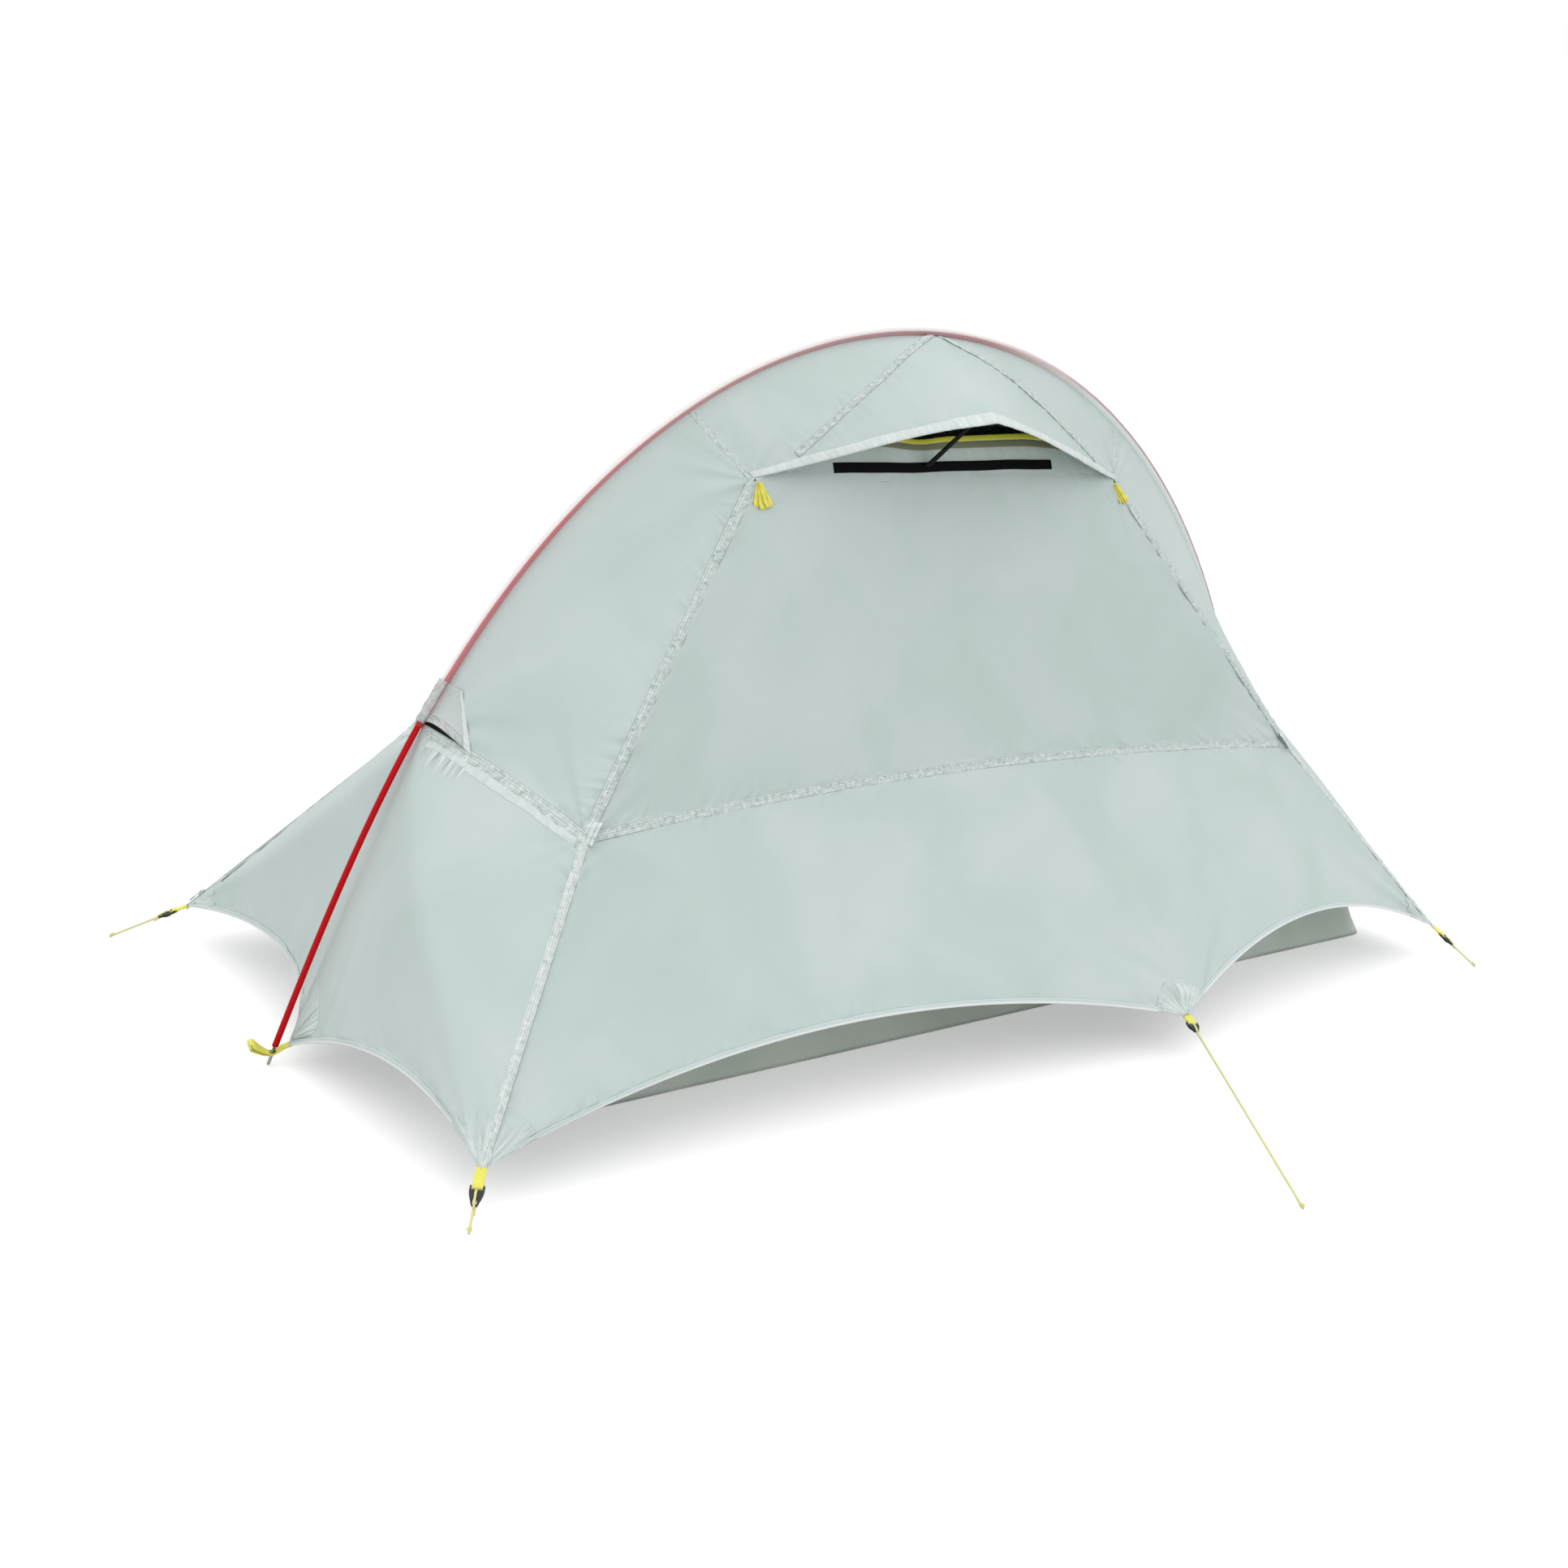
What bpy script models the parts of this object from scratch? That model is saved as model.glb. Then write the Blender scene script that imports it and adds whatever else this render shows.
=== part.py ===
"""Ultralight one-person tent on one arched pole that runs the length of the tent.

The flysheet hangs under a sleeve on the pole, a mesh inner tent with a tray floor stands
inside it, and six adjustable lines and two foot straps hold it to the ground.

Metres, +Z up. X runs along the pole's plane. -Y faces the side with the fixed wall and
+Y the side with the door. The origin is the middle of the footprint, on the ground.
"""

import math

import bmesh
import bpy
from mathutils import Matrix, Vector

# Clearances
GAP = 0.0003
SEAM_HALF_GAP = 0.0002

# Pole: a sprung arch of equal aluminium sections
POLE_RISE = 1.050
POLE_END_ANGLE = 1.2074
POLE_SECTIONS = 6
CHORDS_PER_SECTION = 8
POLE_RADIUS = 0.0045
POLE_WALL = 0.0006
SPIGOT_LENGTH = 0.035
SPIGOT_WALL = 0.0006
TUBE_SIDES = 10
SHOCK_CORD_RADIUS = 0.00125

# Pole tips
TIP_PIN_RADIUS = 0.0024
TIP_SHOULDER_START = 0.0275
TIP_SHOULDER_LENGTH = 0.0065
TIP_PLUG_LENGTH = 0.022

# Sleeve and ridge
SLEEVE_RADIUS = 0.0072
RIDGE_DROP = 0.0079
BARE_POLE = 0.515
HOOD_RIDGE_HALF = 0.484

# Flysheet seams, in the quadrant of positive X and Y
FABRIC_THICKNESS = 0.001
BROW_CORNER_X = 0.391
BROW_CORNER_Y = 0.080
BROW_CORNER_DROP = 0.226
LIP_LIFT = 0.005
HIP_X = 0.754
HIP_Y = 0.263
HIP_Z = 0.377
CORNER_INSET_X = 0.066
CORNER_Y = 0.478
CORNER_Z = 0.0565
FOOT_EDGE_INSET = 0.0276
FOOT_EDGE_Z = 0.023
SIDE_GUY_X = 0.2025
SIDE_GUY_Y = 0.5585
SIDE_GUY_Z = 0.060
LIP_BOW = Vector((0.0, 0.081, 0.109))
LIP_ROUNDNESS = 1.18
COLLAR_BOW = Vector((0.0, -0.025, 0.061))
HIP_SEAM_BOW = Vector((0.0, -0.020, 0.026))
LONG_HEM_BOW = Vector((0.0, -0.045, 0.077))
SHORT_HEM_BOW = Vector((0.0, -0.040, 0.086))
NEAR_END_HEM_BOW = Vector((-0.012, 0.0, 0.056))
FAR_END_HEM_BOW = Vector((-0.045, 0.0, 0.060))
SHOULDER_SEAM_BOW = Vector((0.0, 0.004, 0.006))
END_CREASE_HEIGHT = 0.054
CORE_SHARE = 0.5
CORE_HEIGHT = 0.25

# Cells of the sheets along the shared seams
CELLS_ACROSS = 15
CELLS_TO_SIDE_GUY = 9
CELLS_LONG = 8
CELLS_SHORT = 5

# Vent under each brow
COLLAR_END_SHARE = 0.006
STRIP_HALF_LENGTH = 0.236
STRIP_RISE = 0.017
STRIP_HEIGHT = 0.013
STRIP_THICKNESS = 0.0015
PROP_X = 0.047
PROP_LEAN = Vector((0.022, 0.073, 0.0823))
PROP_WIDTH = 0.012
PROP_THICKNESS = 0.0025
PROP_FOOT_CLEARANCE = 0.0033

# Hoods over the sleeve's ends
END_HOOD_LENGTH = 0.072
END_HOOD_OVERHANG = -0.016
END_HOOD_REACH = 0.30
END_HOOD_STANDOFF = 0.004
END_HOOD_CLEARANCE = 0.0009

# Inner tent
FLOOR_FOOT_END_INSET = 0.170
FLOOR_HEAD_END_INSET = 0.0776
FLOOR_FOOT_HALF_WIDTH = 0.312
FLOOR_HEAD_HALF_WIDTH = 0.350
FLOOR_WALL_HEIGHT = 0.115
FLOOR_WALL_LEAN = 0.030
FLOOR_THICKNESS = 0.0012
FLOOR_CORNER_RADIUS = 0.045
INNER_RIDGE_DROP = 0.045
INNER_RIDGE_END = 0.640
HANGER_DROP = 0.0034
HANGER_REACH = 0.0017
DOORWAY_CELLS = (6, 15)
DOORWAY_ROWS = (0, 5)

# Webbing loops, line adjusters and guylines
WEBBING_WIDTH = 0.014
WEBBING_HALF_THICKNESS = 0.0011
LOOP_REACH = 0.021
LOOP_ROOT_GAP = 0.0007
EYE_RADIUS = 0.0025
EYE_WALL = 0.0012
ADJUSTER_RAIL = 0.002
ADJUSTER_BAR = 0.003
ADJUSTER_LENGTH = 0.026
ADJUSTER_SLOT = 0.007
ADJUSTER_THICKNESS = 0.003
ADJUSTER_TAPER = 0.55
LINE_RADIUS = 0.0015
LINE_POINT_SPACING = 0.020
BROW_LOOP_REACH = 0.030
BROW_LOOP_START = 0.004
BROW_LOOP_CLEARANCE = 0.0003
STRAP_WIDTH = 0.012
STRAP_HEIGHT = 0.0225
STRAP_HALF_THICKNESS = 0.0009
STRAP_REACH = 0.058
STRAP_HOLE_CLEARANCE = 0.00035

# Door zips
SLIDER_LENGTH = 0.012
SLIDER_WIDTH = 0.007
SLIDER_THICKNESS = 0.003
SLIDER_START = 0.030
SLIDER_CLEARANCE = 0.0005

# Peg end of each line on the ground: X, Y
PEG_NEAR_LEFT = (-1.047, -0.521)
PEG_NEAR_RIGHT = (1.040, -0.560)
PEG_FAR_LEFT = (-1.114, 0.530)
PEG_FAR_RIGHT = (1.047, 0.521)
PEG_SIDE = (0.047, 0.980)

# Colours, as linear red, green and blue
FLY_GREEN = (0.50, 0.58, 0.56)
FLOOR_GREEN = (0.36, 0.43, 0.36)
NET_BLACK = (0.02, 0.02, 0.02)
SLEEVE_PINK = (0.72, 0.45, 0.45)
POLE_RED = (0.60, 0.01, 0.02)
BARE_ALUMINIUM = (0.60, 0.60, 0.60)
WEBBING_YELLOW = (0.78, 0.80, 0.10)
LINE_YELLOW = (0.85, 0.85, 0.35)
PLASTIC_BLACK = (0.02, 0.02, 0.02)


def clear_scene():
    for old in list(bpy.data.objects):
        bpy.data.objects.remove(old)


def material(name, colour, roughness, metallic=0.0):
    made = bpy.data.materials.new(name)
    made.use_nodes = True
    shader = made.node_tree.nodes["Principled BSDF"]
    shader.inputs["Base Color"].default_value = (*colour, 1.0)
    shader.inputs["Roughness"].default_value = roughness
    shader.inputs["Metallic"].default_value = metallic
    return made


def add_object(name, bm, made, origin=None):
    """Turns a closed bmesh into an object; origin is a point on its joint's axis."""
    bmesh.ops.recalc_face_normals(bm, faces=bm.faces)
    if origin is not None:
        bmesh.ops.translate(bm, verts=bm.verts, vec=-Vector(origin))
    mesh = bpy.data.meshes.new(name)
    bm.to_mesh(mesh)
    bm.free()
    obj = bpy.data.objects.new(name, mesh)
    obj.data.materials.append(made)
    if origin is not None:
        obj.location = origin
    bpy.context.collection.objects.link(obj)
    return obj


# The pole's line: a sprung strip's tangent turns as a cosine of its length
def bend_pole():
    """Stations along the pole from the left foot, as a chain of equal chords."""
    chords = POLE_SECTIONS * CHORDS_PER_SECTION
    steps_per_chord = 40
    step = math.pi / (chords * steps_per_chord)
    x = 0.0
    z = 0.0
    run = [(x, z)]
    for k in range(chords * steps_per_chord):
        angle = POLE_END_ANGLE * math.cos((k + 0.5) * step)
        x += math.cos(angle) * step
        z += math.sin(angle) * step
        run.append((x, z))
    size = POLE_RISE / max(z for _, z in run)
    half = run[-1][0] / 2
    stations = run[::steps_per_chord]
    return [Vector(((x - half) * size, 0.0, z * size)) for x, z in stations], size * math.pi


STATIONS, POLE_LENGTH = bend_pole()
CHORD = POLE_LENGTH / (len(STATIONS) - 1)
HALF_SPAN = STATIONS[-1].x


def on_pole(distance):
    """Centre point and direction of the pole at a distance from the left foot."""
    k = min(max(int(distance / CHORD), 0), len(STATIONS) - 2)
    a = STATIONS[k]
    b = STATIONS[k + 1]
    return a.lerp(b, distance / CHORD - k), (b - a).normalized()


def outward(direction):
    """Normal of the pole's line in its plane, pointing out of the arch."""
    return Vector((-direction.z, 0.0, direction.x))


def pole_stops(start, end):
    """Start, end and each station between them, as (point, direction)."""
    stops = [on_pole(start)]
    for k in range(1, len(STATIONS) - 1):
        if start + GAP < k * CHORD < end - GAP:
            bisector = STATIONS[k + 1] - STATIONS[k - 1]
            stops.append((STATIONS[k], bisector.normalized()))
    stops.append(on_pole(end))
    return stops


def ring(centre, direction, radius):
    up = outward(direction)
    side = Vector((0.0, 1.0, 0.0))
    turn = 2 * math.pi / TUBE_SIDES
    return [
        centre + radius * (math.cos(k * turn) * side + math.sin(k * turn) * up)
        for k in range(TUBE_SIDES)
    ]


def rings_along(start, end, radius):
    return [ring(point, direction, radius) for point, direction in pole_stops(start, end)]


def skin_rings(rings, hollow):
    """Closed body through rings of points: hollow joins last to first, else both are capped."""
    bm = bmesh.new()
    loops = [[bm.verts.new(p) for p in points] for points in rings]
    pairs = list(zip(loops, loops[1:]))
    if hollow:
        pairs.append((loops[-1], loops[0]))
    else:
        bm.faces.new(loops[0])
        bm.faces.new(loops[-1])
    count = len(loops[0])
    for a, b in pairs:
        for k in range(count):
            n = (k + 1) % count
            bm.faces.new((a[k], a[n], b[n], b[k]))
    return bm


def make_pole(red):
    """Sections plug together: a thinner spigot is glued in one end of each."""
    bore = POLE_RADIUS - POLE_WALL
    spigot = bore - GAP
    spigot_bore = spigot - SPIGOT_WALL
    section = POLE_LENGTH / POLE_SECTIONS
    tube_start = TIP_SHOULDER_START + TIP_SHOULDER_LENGTH + GAP
    for k in range(POLE_SECTIONS):
        start = k * section if k else tube_start
        last = k == POLE_SECTIONS - 1
        end = POLE_LENGTH - tube_start if last else (k + 1) * section - 2 * GAP
        rings = rings_along(start, end, POLE_RADIUS)
        if not last:
            rings += rings_along(end, end + SPIGOT_LENGTH, spigot)
            rings += rings_along(end - SPIGOT_LENGTH, end + SPIGOT_LENGTH, spigot_bore)[::-1]
            end = end - SPIGOT_LENGTH
        rings += rings_along(start, end, bore)[::-1]
        add_object(f"pole_section_{k + 1}", skin_rings(rings, hollow=True), red)


def make_pole_tips(metal):
    """Turned tips: a pin through the foot strap's eyelet, a shoulder and a plug."""
    direction = on_pole(0)[1]
    pin_centre = TIP_PIN_RADIUS / direction.z
    plug_radius = POLE_RADIUS - POLE_WALL - GAP
    shoulder_end = TIP_SHOULDER_START + TIP_SHOULDER_LENGTH
    profile = []
    for degrees in (75, 50, 25, 0):
        a = math.radians(degrees)
        profile.append((pin_centre - TIP_PIN_RADIUS * math.sin(a), TIP_PIN_RADIUS * math.cos(a)))
    profile.append((TIP_SHOULDER_START, TIP_PIN_RADIUS))
    profile.append((TIP_SHOULDER_START + 0.0008, POLE_RADIUS))
    profile.append((shoulder_end, POLE_RADIUS))
    profile.append((shoulder_end + GAP / 2, plug_radius))
    profile.append((shoulder_end + TIP_PLUG_LENGTH, plug_radius))
    for name, from_left in (("pole_tip_left", True), ("pole_tip_right", False)):
        rings = []
        for distance, radius in profile:
            point, run = on_pole(distance if from_left else POLE_LENGTH - distance)
            rings.append(ring(point, run, radius))
        add_object(name, skin_rings(rings, hollow=False), metal)


def make_shock_cord(elastic):
    """Elastic cord down the whole pole, held at the tips' plugs."""
    start = TIP_SHOULDER_START + TIP_SHOULDER_LENGTH + TIP_PLUG_LENGTH + GAP
    stops = pole_stops(start, POLE_LENGTH - start)
    make_cord("shock_cord", [point for point, _ in stops], SHOCK_CORD_RADIUS, elastic)


def make_cord(name, points, radius, made, origin=(0.0, 0.0, 0.0)):
    curve = bpy.data.curves.new(name, "CURVE")
    curve.dimensions = "3D"
    curve.bevel_depth = radius
    curve.bevel_resolution = 2
    curve.use_fill_caps = True
    spline = curve.splines.new("POLY")
    spline.points.add(len(points) - 1)
    for spot, point in zip(spline.points, points):
        spot.co = (*(Vector(point) - Vector(origin)), 1.0)
    obj = bpy.data.objects.new(name, curve)
    obj.location = origin
    obj.data.materials.append(made)
    bpy.context.collection.objects.link(obj)
    return obj


def make_sleeve(pink):
    start = BARE_POLE
    end = POLE_LENGTH - BARE_POLE
    rings = rings_along(start, end, SLEEVE_RADIUS)
    rings += rings_along(start, end, POLE_RADIUS + GAP)[::-1]
    add_object("pole_sleeve", skin_rings(rings, hollow=True), pink)


# Seam curves: each is a function of t from 0 to 1
def straight(a, b):
    return lambda t: a.lerp(b, t)


def bowed(a, b, bow):
    return lambda t: a.lerp(b, t) + bow * (4 * t * (1 - t))


def peaked(a, b, rise, roundness):
    """Two nearly straight halves that meet in a rounded peak at the middle."""
    return lambda t: a.lerp(b, t) + rise * (1 - abs(2 * t - 1) ** roundness)


def flipped(curve, sx, sy):
    return lambda t: place(curve(t), sx, sy)


def place(point, sx, sy):
    return Vector((sx * point.x, sy * point.y, point.z))


def ridge_point(distance, drop):
    point, direction = on_pole(distance)
    return point - outward(direction) * drop


def ridge(start, end, drop=RIDGE_DROP):
    return lambda t: ridge_point(start + (end - start) * t, drop)


MIDDLE = POLE_LENGTH / 2
RIGHT_SEAM = MIDDLE + HOOD_RIDGE_HALF
RIGHT_EXIT = POLE_LENGTH - BARE_POLE
RIDGE_SEAM = ridge_point(RIGHT_SEAM, RIDGE_DROP)
RIDGE_EXIT = ridge_point(RIGHT_EXIT, RIDGE_DROP)
BROW_CORNER = Vector((BROW_CORNER_X, BROW_CORNER_Y, POLE_RISE - BROW_CORNER_DROP))
HIP = Vector((HIP_X, HIP_Y, HIP_Z))
CORNER = Vector((HALF_SPAN - CORNER_INSET_X, CORNER_Y, CORNER_Z))
FOOT_EDGE = Vector((HALF_SPAN - FOOT_EDGE_INSET, 0.0, FOOT_EDGE_Z))
SIDE_GUY = Vector((SIDE_GUY_X, SIDE_GUY_Y, SIDE_GUY_Z))


def mirrored_x(point):
    return place(point, -1, 1)


def long_hem(t):
    """Hem of the skirt from the left corner over the side guy to the right corner."""
    split = CELLS_TO_SIDE_GUY / CELLS_ACROSS
    if t < split:
        return bowed(mirrored_x(CORNER), SIDE_GUY, LONG_HEM_BOW)(t / split)
    return bowed(SIDE_GUY, CORNER, SHORT_HEM_BOW)((t - split) / (1 - split))


HIP_SEAM = bowed(mirrored_x(HIP), HIP, HIP_SEAM_BOW)
BROW_CHORD = straight(mirrored_x(BROW_CORNER), BROW_CORNER)
BROW_SIDE = straight(RIDGE_SEAM, BROW_CORNER)
LIP_END = BROW_CORNER + (RIDGE_SEAM - BROW_CORNER).normalized() * LIP_LIFT
BROW_LIP = peaked(mirrored_x(LIP_END), LIP_END, LIP_BOW, LIP_ROUNDNESS)
BROW_EDGE = straight(RIDGE_SEAM, LIP_END)
DOOR_SIDE = straight(BROW_CORNER, HIP)
SHOULDER_SEAM = bowed(RIDGE_EXIT, HIP, SHOULDER_SEAM_BOW)
CORNER_SEAM = straight(HIP, CORNER)
NEAR_END_HEM = bowed(FOOT_EDGE, CORNER, NEAR_END_HEM_BOW)
FAR_END_HEM = bowed(FOOT_EDGE, CORNER, FAR_END_HEM_BOW)
END_MIDDLE = straight(RIDGE_EXIT, FOOT_EDGE)


def patch(top, bottom, left, right):
    """Surface between four seams: u from left to right, v from top to bottom."""

    def at(u, v):
        ruled = top(u).lerp(bottom(u), v) + left(v).lerp(right(v), u)
        corners_top = top(0).lerp(top(1), u)
        corners_bottom = bottom(0).lerp(bottom(1), u)
        return ruled - corners_top.lerp(corners_bottom, v)

    return at


def sample(surface, across, down):
    return [[surface(i / across, j / down) for i in range(across + 1)] for j in range(down + 1)]


def toward_core(point):
    """Direction in which every sheet takes its thickness, so that seams are mitred."""
    return (Vector((CORE_SHARE * point.x, 0.0, CORE_HEIGHT)) - point).normalized()


def sheet_normal(grid, j, i):
    rows = len(grid) - 1
    columns = len(grid[0]) - 1
    along = grid[j][min(i + 1, columns)] - grid[j][max(i - 1, 0)]
    down = grid[min(j + 1, rows)][i] - grid[max(j - 1, 0)][i]
    normal = along.cross(down).normalized()
    return -normal if normal.dot(toward_core(grid[j][i])) > 0 else normal


def square_to(vector, edge):
    if edge.length > 1e-6:
        edge = edge.normalized()
        vector = vector - edge * vector.dot(edge)
    return vector.normalized()


def drawn_in(grid, distance):
    """The same grid with its four edges moved into the sheet by a distance."""
    rows = len(grid) - 1
    columns = len(grid[0]) - 1
    result = [list(row) for row in grid]
    for j in range(rows + 1):
        for i in range(columns + 1):
            down = grid[min(j + 1, rows)][i] - grid[max(j - 1, 0)][i]
            along = grid[j][min(i + 1, columns)] - grid[j][max(i - 1, 0)]
            shift = Vector()
            if i in (0, columns):
                inside = grid[j][1 if i == 0 else columns - 1]
                shift += square_to(inside - grid[j][i], down)
            if j in (0, rows):
                inside = grid[1 if j == 0 else rows - 1][i]
                shift += square_to(inside - grid[j][i], along)
            result[j][i] = grid[j][i] + shift * distance
    return result


def close_sheet(front, back, hole=None):
    """Closed body between two grids of points; hole leaves out a block of cells."""
    rows = len(front) - 1
    columns = len(front[0]) - 1

    def kept(j, i):
        if not (0 <= j < rows and 0 <= i < columns):
            return False
        return not (hole and hole[0][0] <= i < hole[0][1] and hole[1][0] <= j < hole[1][1])

    bm = bmesh.new()
    sides = [{}, {}]

    def vert(side, j, i):
        if (j, i) not in sides[side]:
            sides[side][j, i] = bm.verts.new((front, back)[side][j][i])
        return sides[side][j, i]

    def wall(a, b):
        bm.faces.new((vert(0, *a), vert(0, *b), vert(1, *b), vert(1, *a)))

    for j in range(rows):
        for i in range(columns):
            if not kept(j, i):
                continue
            corners = [(j, i), (j, i + 1), (j + 1, i + 1), (j + 1, i)]
            a, b, c, d = (Vector(front[row][column]) for row, column in corners)
            if (a - c).length > (b - d).length:
                corners = corners[1:] + corners[:1]
            # Both faces of a twisted cell fold along the same diagonal, so they never cross
            for half in ((0, 1, 2), (0, 2, 3)):
                bm.faces.new([vert(0, *corners[k]) for k in half])
                bm.faces.new([vert(1, *corners[k]) for k in reversed(half)])
            if not kept(j - 1, i):
                wall((j, i), (j, i + 1))
            if not kept(j + 1, i):
                wall((j + 1, i + 1), (j + 1, i))
            if not kept(j, i - 1):
                wall((j + 1, i), (j, i))
            if not kept(j, i + 1):
                wall((j, i + 1), (j + 1, i + 1))
    return bm


def make_sheet(name, grid, made, hole=None, origin=None):
    """Cloth with its outer face on the grid, drawn in by half of each seam's gap."""
    front = drawn_in(grid, SEAM_HALF_GAP)
    back = []
    for j, row in enumerate(front):
        back.append([])
        for i, point in enumerate(row):
            inward = toward_core(point)
            depth = FABRIC_THICKNESS / max(abs(inward.dot(sheet_normal(grid, j, i))), 0.35)
            back[j].append(point + inward * depth)
    return add_object(name, close_sheet(front, back, hole), made, origin)


SIDES_Y = (("near", -1), ("far", 1))
SIDES_X = (("left", -1), ("right", 1))


def side_surface(sx, sy):
    """Panel from the ridge down to the door's side seam, in one quadrant."""
    return patch(
        flipped(ridge(RIGHT_SEAM, RIGHT_EXIT), sx, sy),
        flipped(DOOR_SIDE, sx, sy),
        flipped(BROW_SIDE, sx, sy),
        flipped(SHOULDER_SEAM, sx, sy),
    )


def make_upper_fly(cloth):
    for side, sy in SIDES_Y:
        for end, sx in SIDES_X:
            grid = sample(side_surface(sx, sy), CELLS_LONG, CELLS_SHORT)
            make_sheet(f"side_panel_{side}_{end}", grid, cloth)
        brow = patch(
            ridge(POLE_LENGTH - RIGHT_SEAM, RIGHT_SEAM),
            flipped(BROW_LIP, 1, sy),
            flipped(BROW_EDGE, -1, sy),
            flipped(BROW_EDGE, 1, sy),
        )
        make_sheet(f"brow_{side}", sample(brow, CELLS_ACROSS, CELLS_SHORT), cloth)


def collar_surface(sy):
    """Upright band behind the brow, between its corners' chord and a bowed top edge."""
    top = bowed(mirrored_x(BROW_CORNER), BROW_CORNER, COLLAR_BOW)

    def at(u, v):
        t = COLLAR_END_SHARE + u * (1 - 2 * COLLAR_END_SHARE)
        return place(top(t).lerp(BROW_CHORD(t), v), 1, sy)

    return at


def make_walls(cloth):
    """Wall and skirt of each side; those of the far side lift together as the door."""
    for side, sy in SIDES_Y:
        make_sheet(f"vent_collar_{side}", sample(collar_surface(sy), CELLS_ACROSS, 2), cloth)
        hinge = place(BROW_CHORD(0.5), 1, sy) if side == "far" else None
        wall = patch(
            flipped(BROW_CHORD, 1, sy),
            flipped(HIP_SEAM, 1, sy),
            flipped(DOOR_SIDE, -1, sy),
            flipped(DOOR_SIDE, 1, sy),
        )
        name = "door_panel_far" if side == "far" else "wall_panel_near"
        make_sheet(name, sample(wall, CELLS_ACROSS, CELLS_LONG), cloth, origin=hinge)
        # The side guy stands right of the middle on one side and left of it on the other
        turn = -sy
        skirt = patch(
            flipped(HIP_SEAM, turn, sy),
            flipped(long_hem, turn, sy),
            flipped(CORNER_SEAM, -turn, sy),
            flipped(CORNER_SEAM, turn, sy),
        )
        grid = sample(skirt, CELLS_ACROSS, CELLS_LONG)
        make_sheet(f"skirt_{side}", grid, cloth, origin=hinge)


def end_half(sx, sy):
    """Half of the fly's end, creased from the ridge's end to its corner."""
    half = patch(
        flipped(SHOULDER_SEAM, sx, sy),
        flipped(FAR_END_HEM if sy > 0 else NEAR_END_HEM, sx, sy),
        flipped(END_MIDDLE, sx, sy),
        flipped(CORNER_SEAM, sx, sy),
    )
    grid = sample(half, CELLS_SHORT, CELLS_LONG)
    for j, row in enumerate(grid):
        for i, point in enumerate(row):
            u = i / CELLS_SHORT
            v = j / CELLS_LONG
            lift = 4 * END_CREASE_HEIGHT * min(u, v) * (1 - max(u, v))
            row[i] = point - toward_core(point) * lift
    return grid


def make_ends(cloth):
    for end, sx in SIDES_X:
        halves = zip(end_half(sx, -1), end_half(sx, 1))
        grid = [near[:0:-1] + far for near, far in halves]
        make_sheet(f"end_panel_{end}", grid, cloth)


def make_end_hoods(cloth):
    """Small cap over each end of the sleeve, open downward for air."""
    rows = 4
    reach_cells = 3
    arch_angles = (0, 45, 90)
    for end, sx in SIDES_X:
        surfaces = {sy: side_surface(sx, sy) for _, sy in SIDES_Y}
        grid = []
        for j in range(rows + 1):
            share = j / rows
            distance = RIGHT_EXIT - END_HOOD_LENGTH + (END_HOOD_LENGTH + END_HOOD_OVERHANG) * share
            point, direction = on_pole(distance)
            up = outward(direction)
            u = (distance - RIGHT_SEAM) / (RIGHT_EXIT - RIGHT_SEAM)
            radius = SLEEVE_RADIUS + END_HOOD_CLEARANCE
            halves = []
            for sy in (-1, 1):
                half = []
                for degrees in arch_angles:
                    a = math.radians(degrees)
                    side = Vector((0.0, sy * math.sin(a), 0.0))
                    half.append(place(point + radius * (side + up * math.cos(a)), sx, 1))
                for k in range(1, reach_cells + 1):
                    v = END_HOOD_REACH * (0.35 + 0.65 * share) * k / reach_cells
                    below = surfaces[sy](min(u, 1.0), v)
                    slide = max(u - 1.0, 0.0) * (RIGHT_EXIT - RIGHT_SEAM)
                    below = below + place(direction, sx, 1) * slide
                    lift = END_HOOD_STANDOFF * (0.6 + 0.4 * share)
                    half.append(below - toward_core(below) * lift)
                halves.append(half)
            grid.append(halves[0][:0:-1] + halves[1])
        outer = []
        for j, row in enumerate(grid):
            outer.append([p + sheet_normal(grid, j, i) * FABRIC_THICKNESS for i, p in enumerate(row)])
        add_object(f"end_hood_{end}", close_sheet(outer, grid), cloth)


def strip_point(sy, x, rise):
    """Point on the collar's outer face at a height above the brow's chord."""
    t = (x / BROW_CORNER_X + 1) / 2
    u = (t - COLLAR_END_SHARE) / (1 - 2 * COLLAR_END_SHARE)
    surface = collar_surface(sy)
    height = (surface(u, 0) - surface(u, 1)).length
    return surface(u, 1 - rise / height)


def strip_normal(sy):
    slope = strip_point(sy, 0.0, STRIP_RISE) - strip_point(sy, 0.0, 0.0)
    normal = slope.cross(Vector((1.0, 0.0, 0.0))).normalized()
    return normal if normal.y * sy > 0 else -normal


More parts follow.
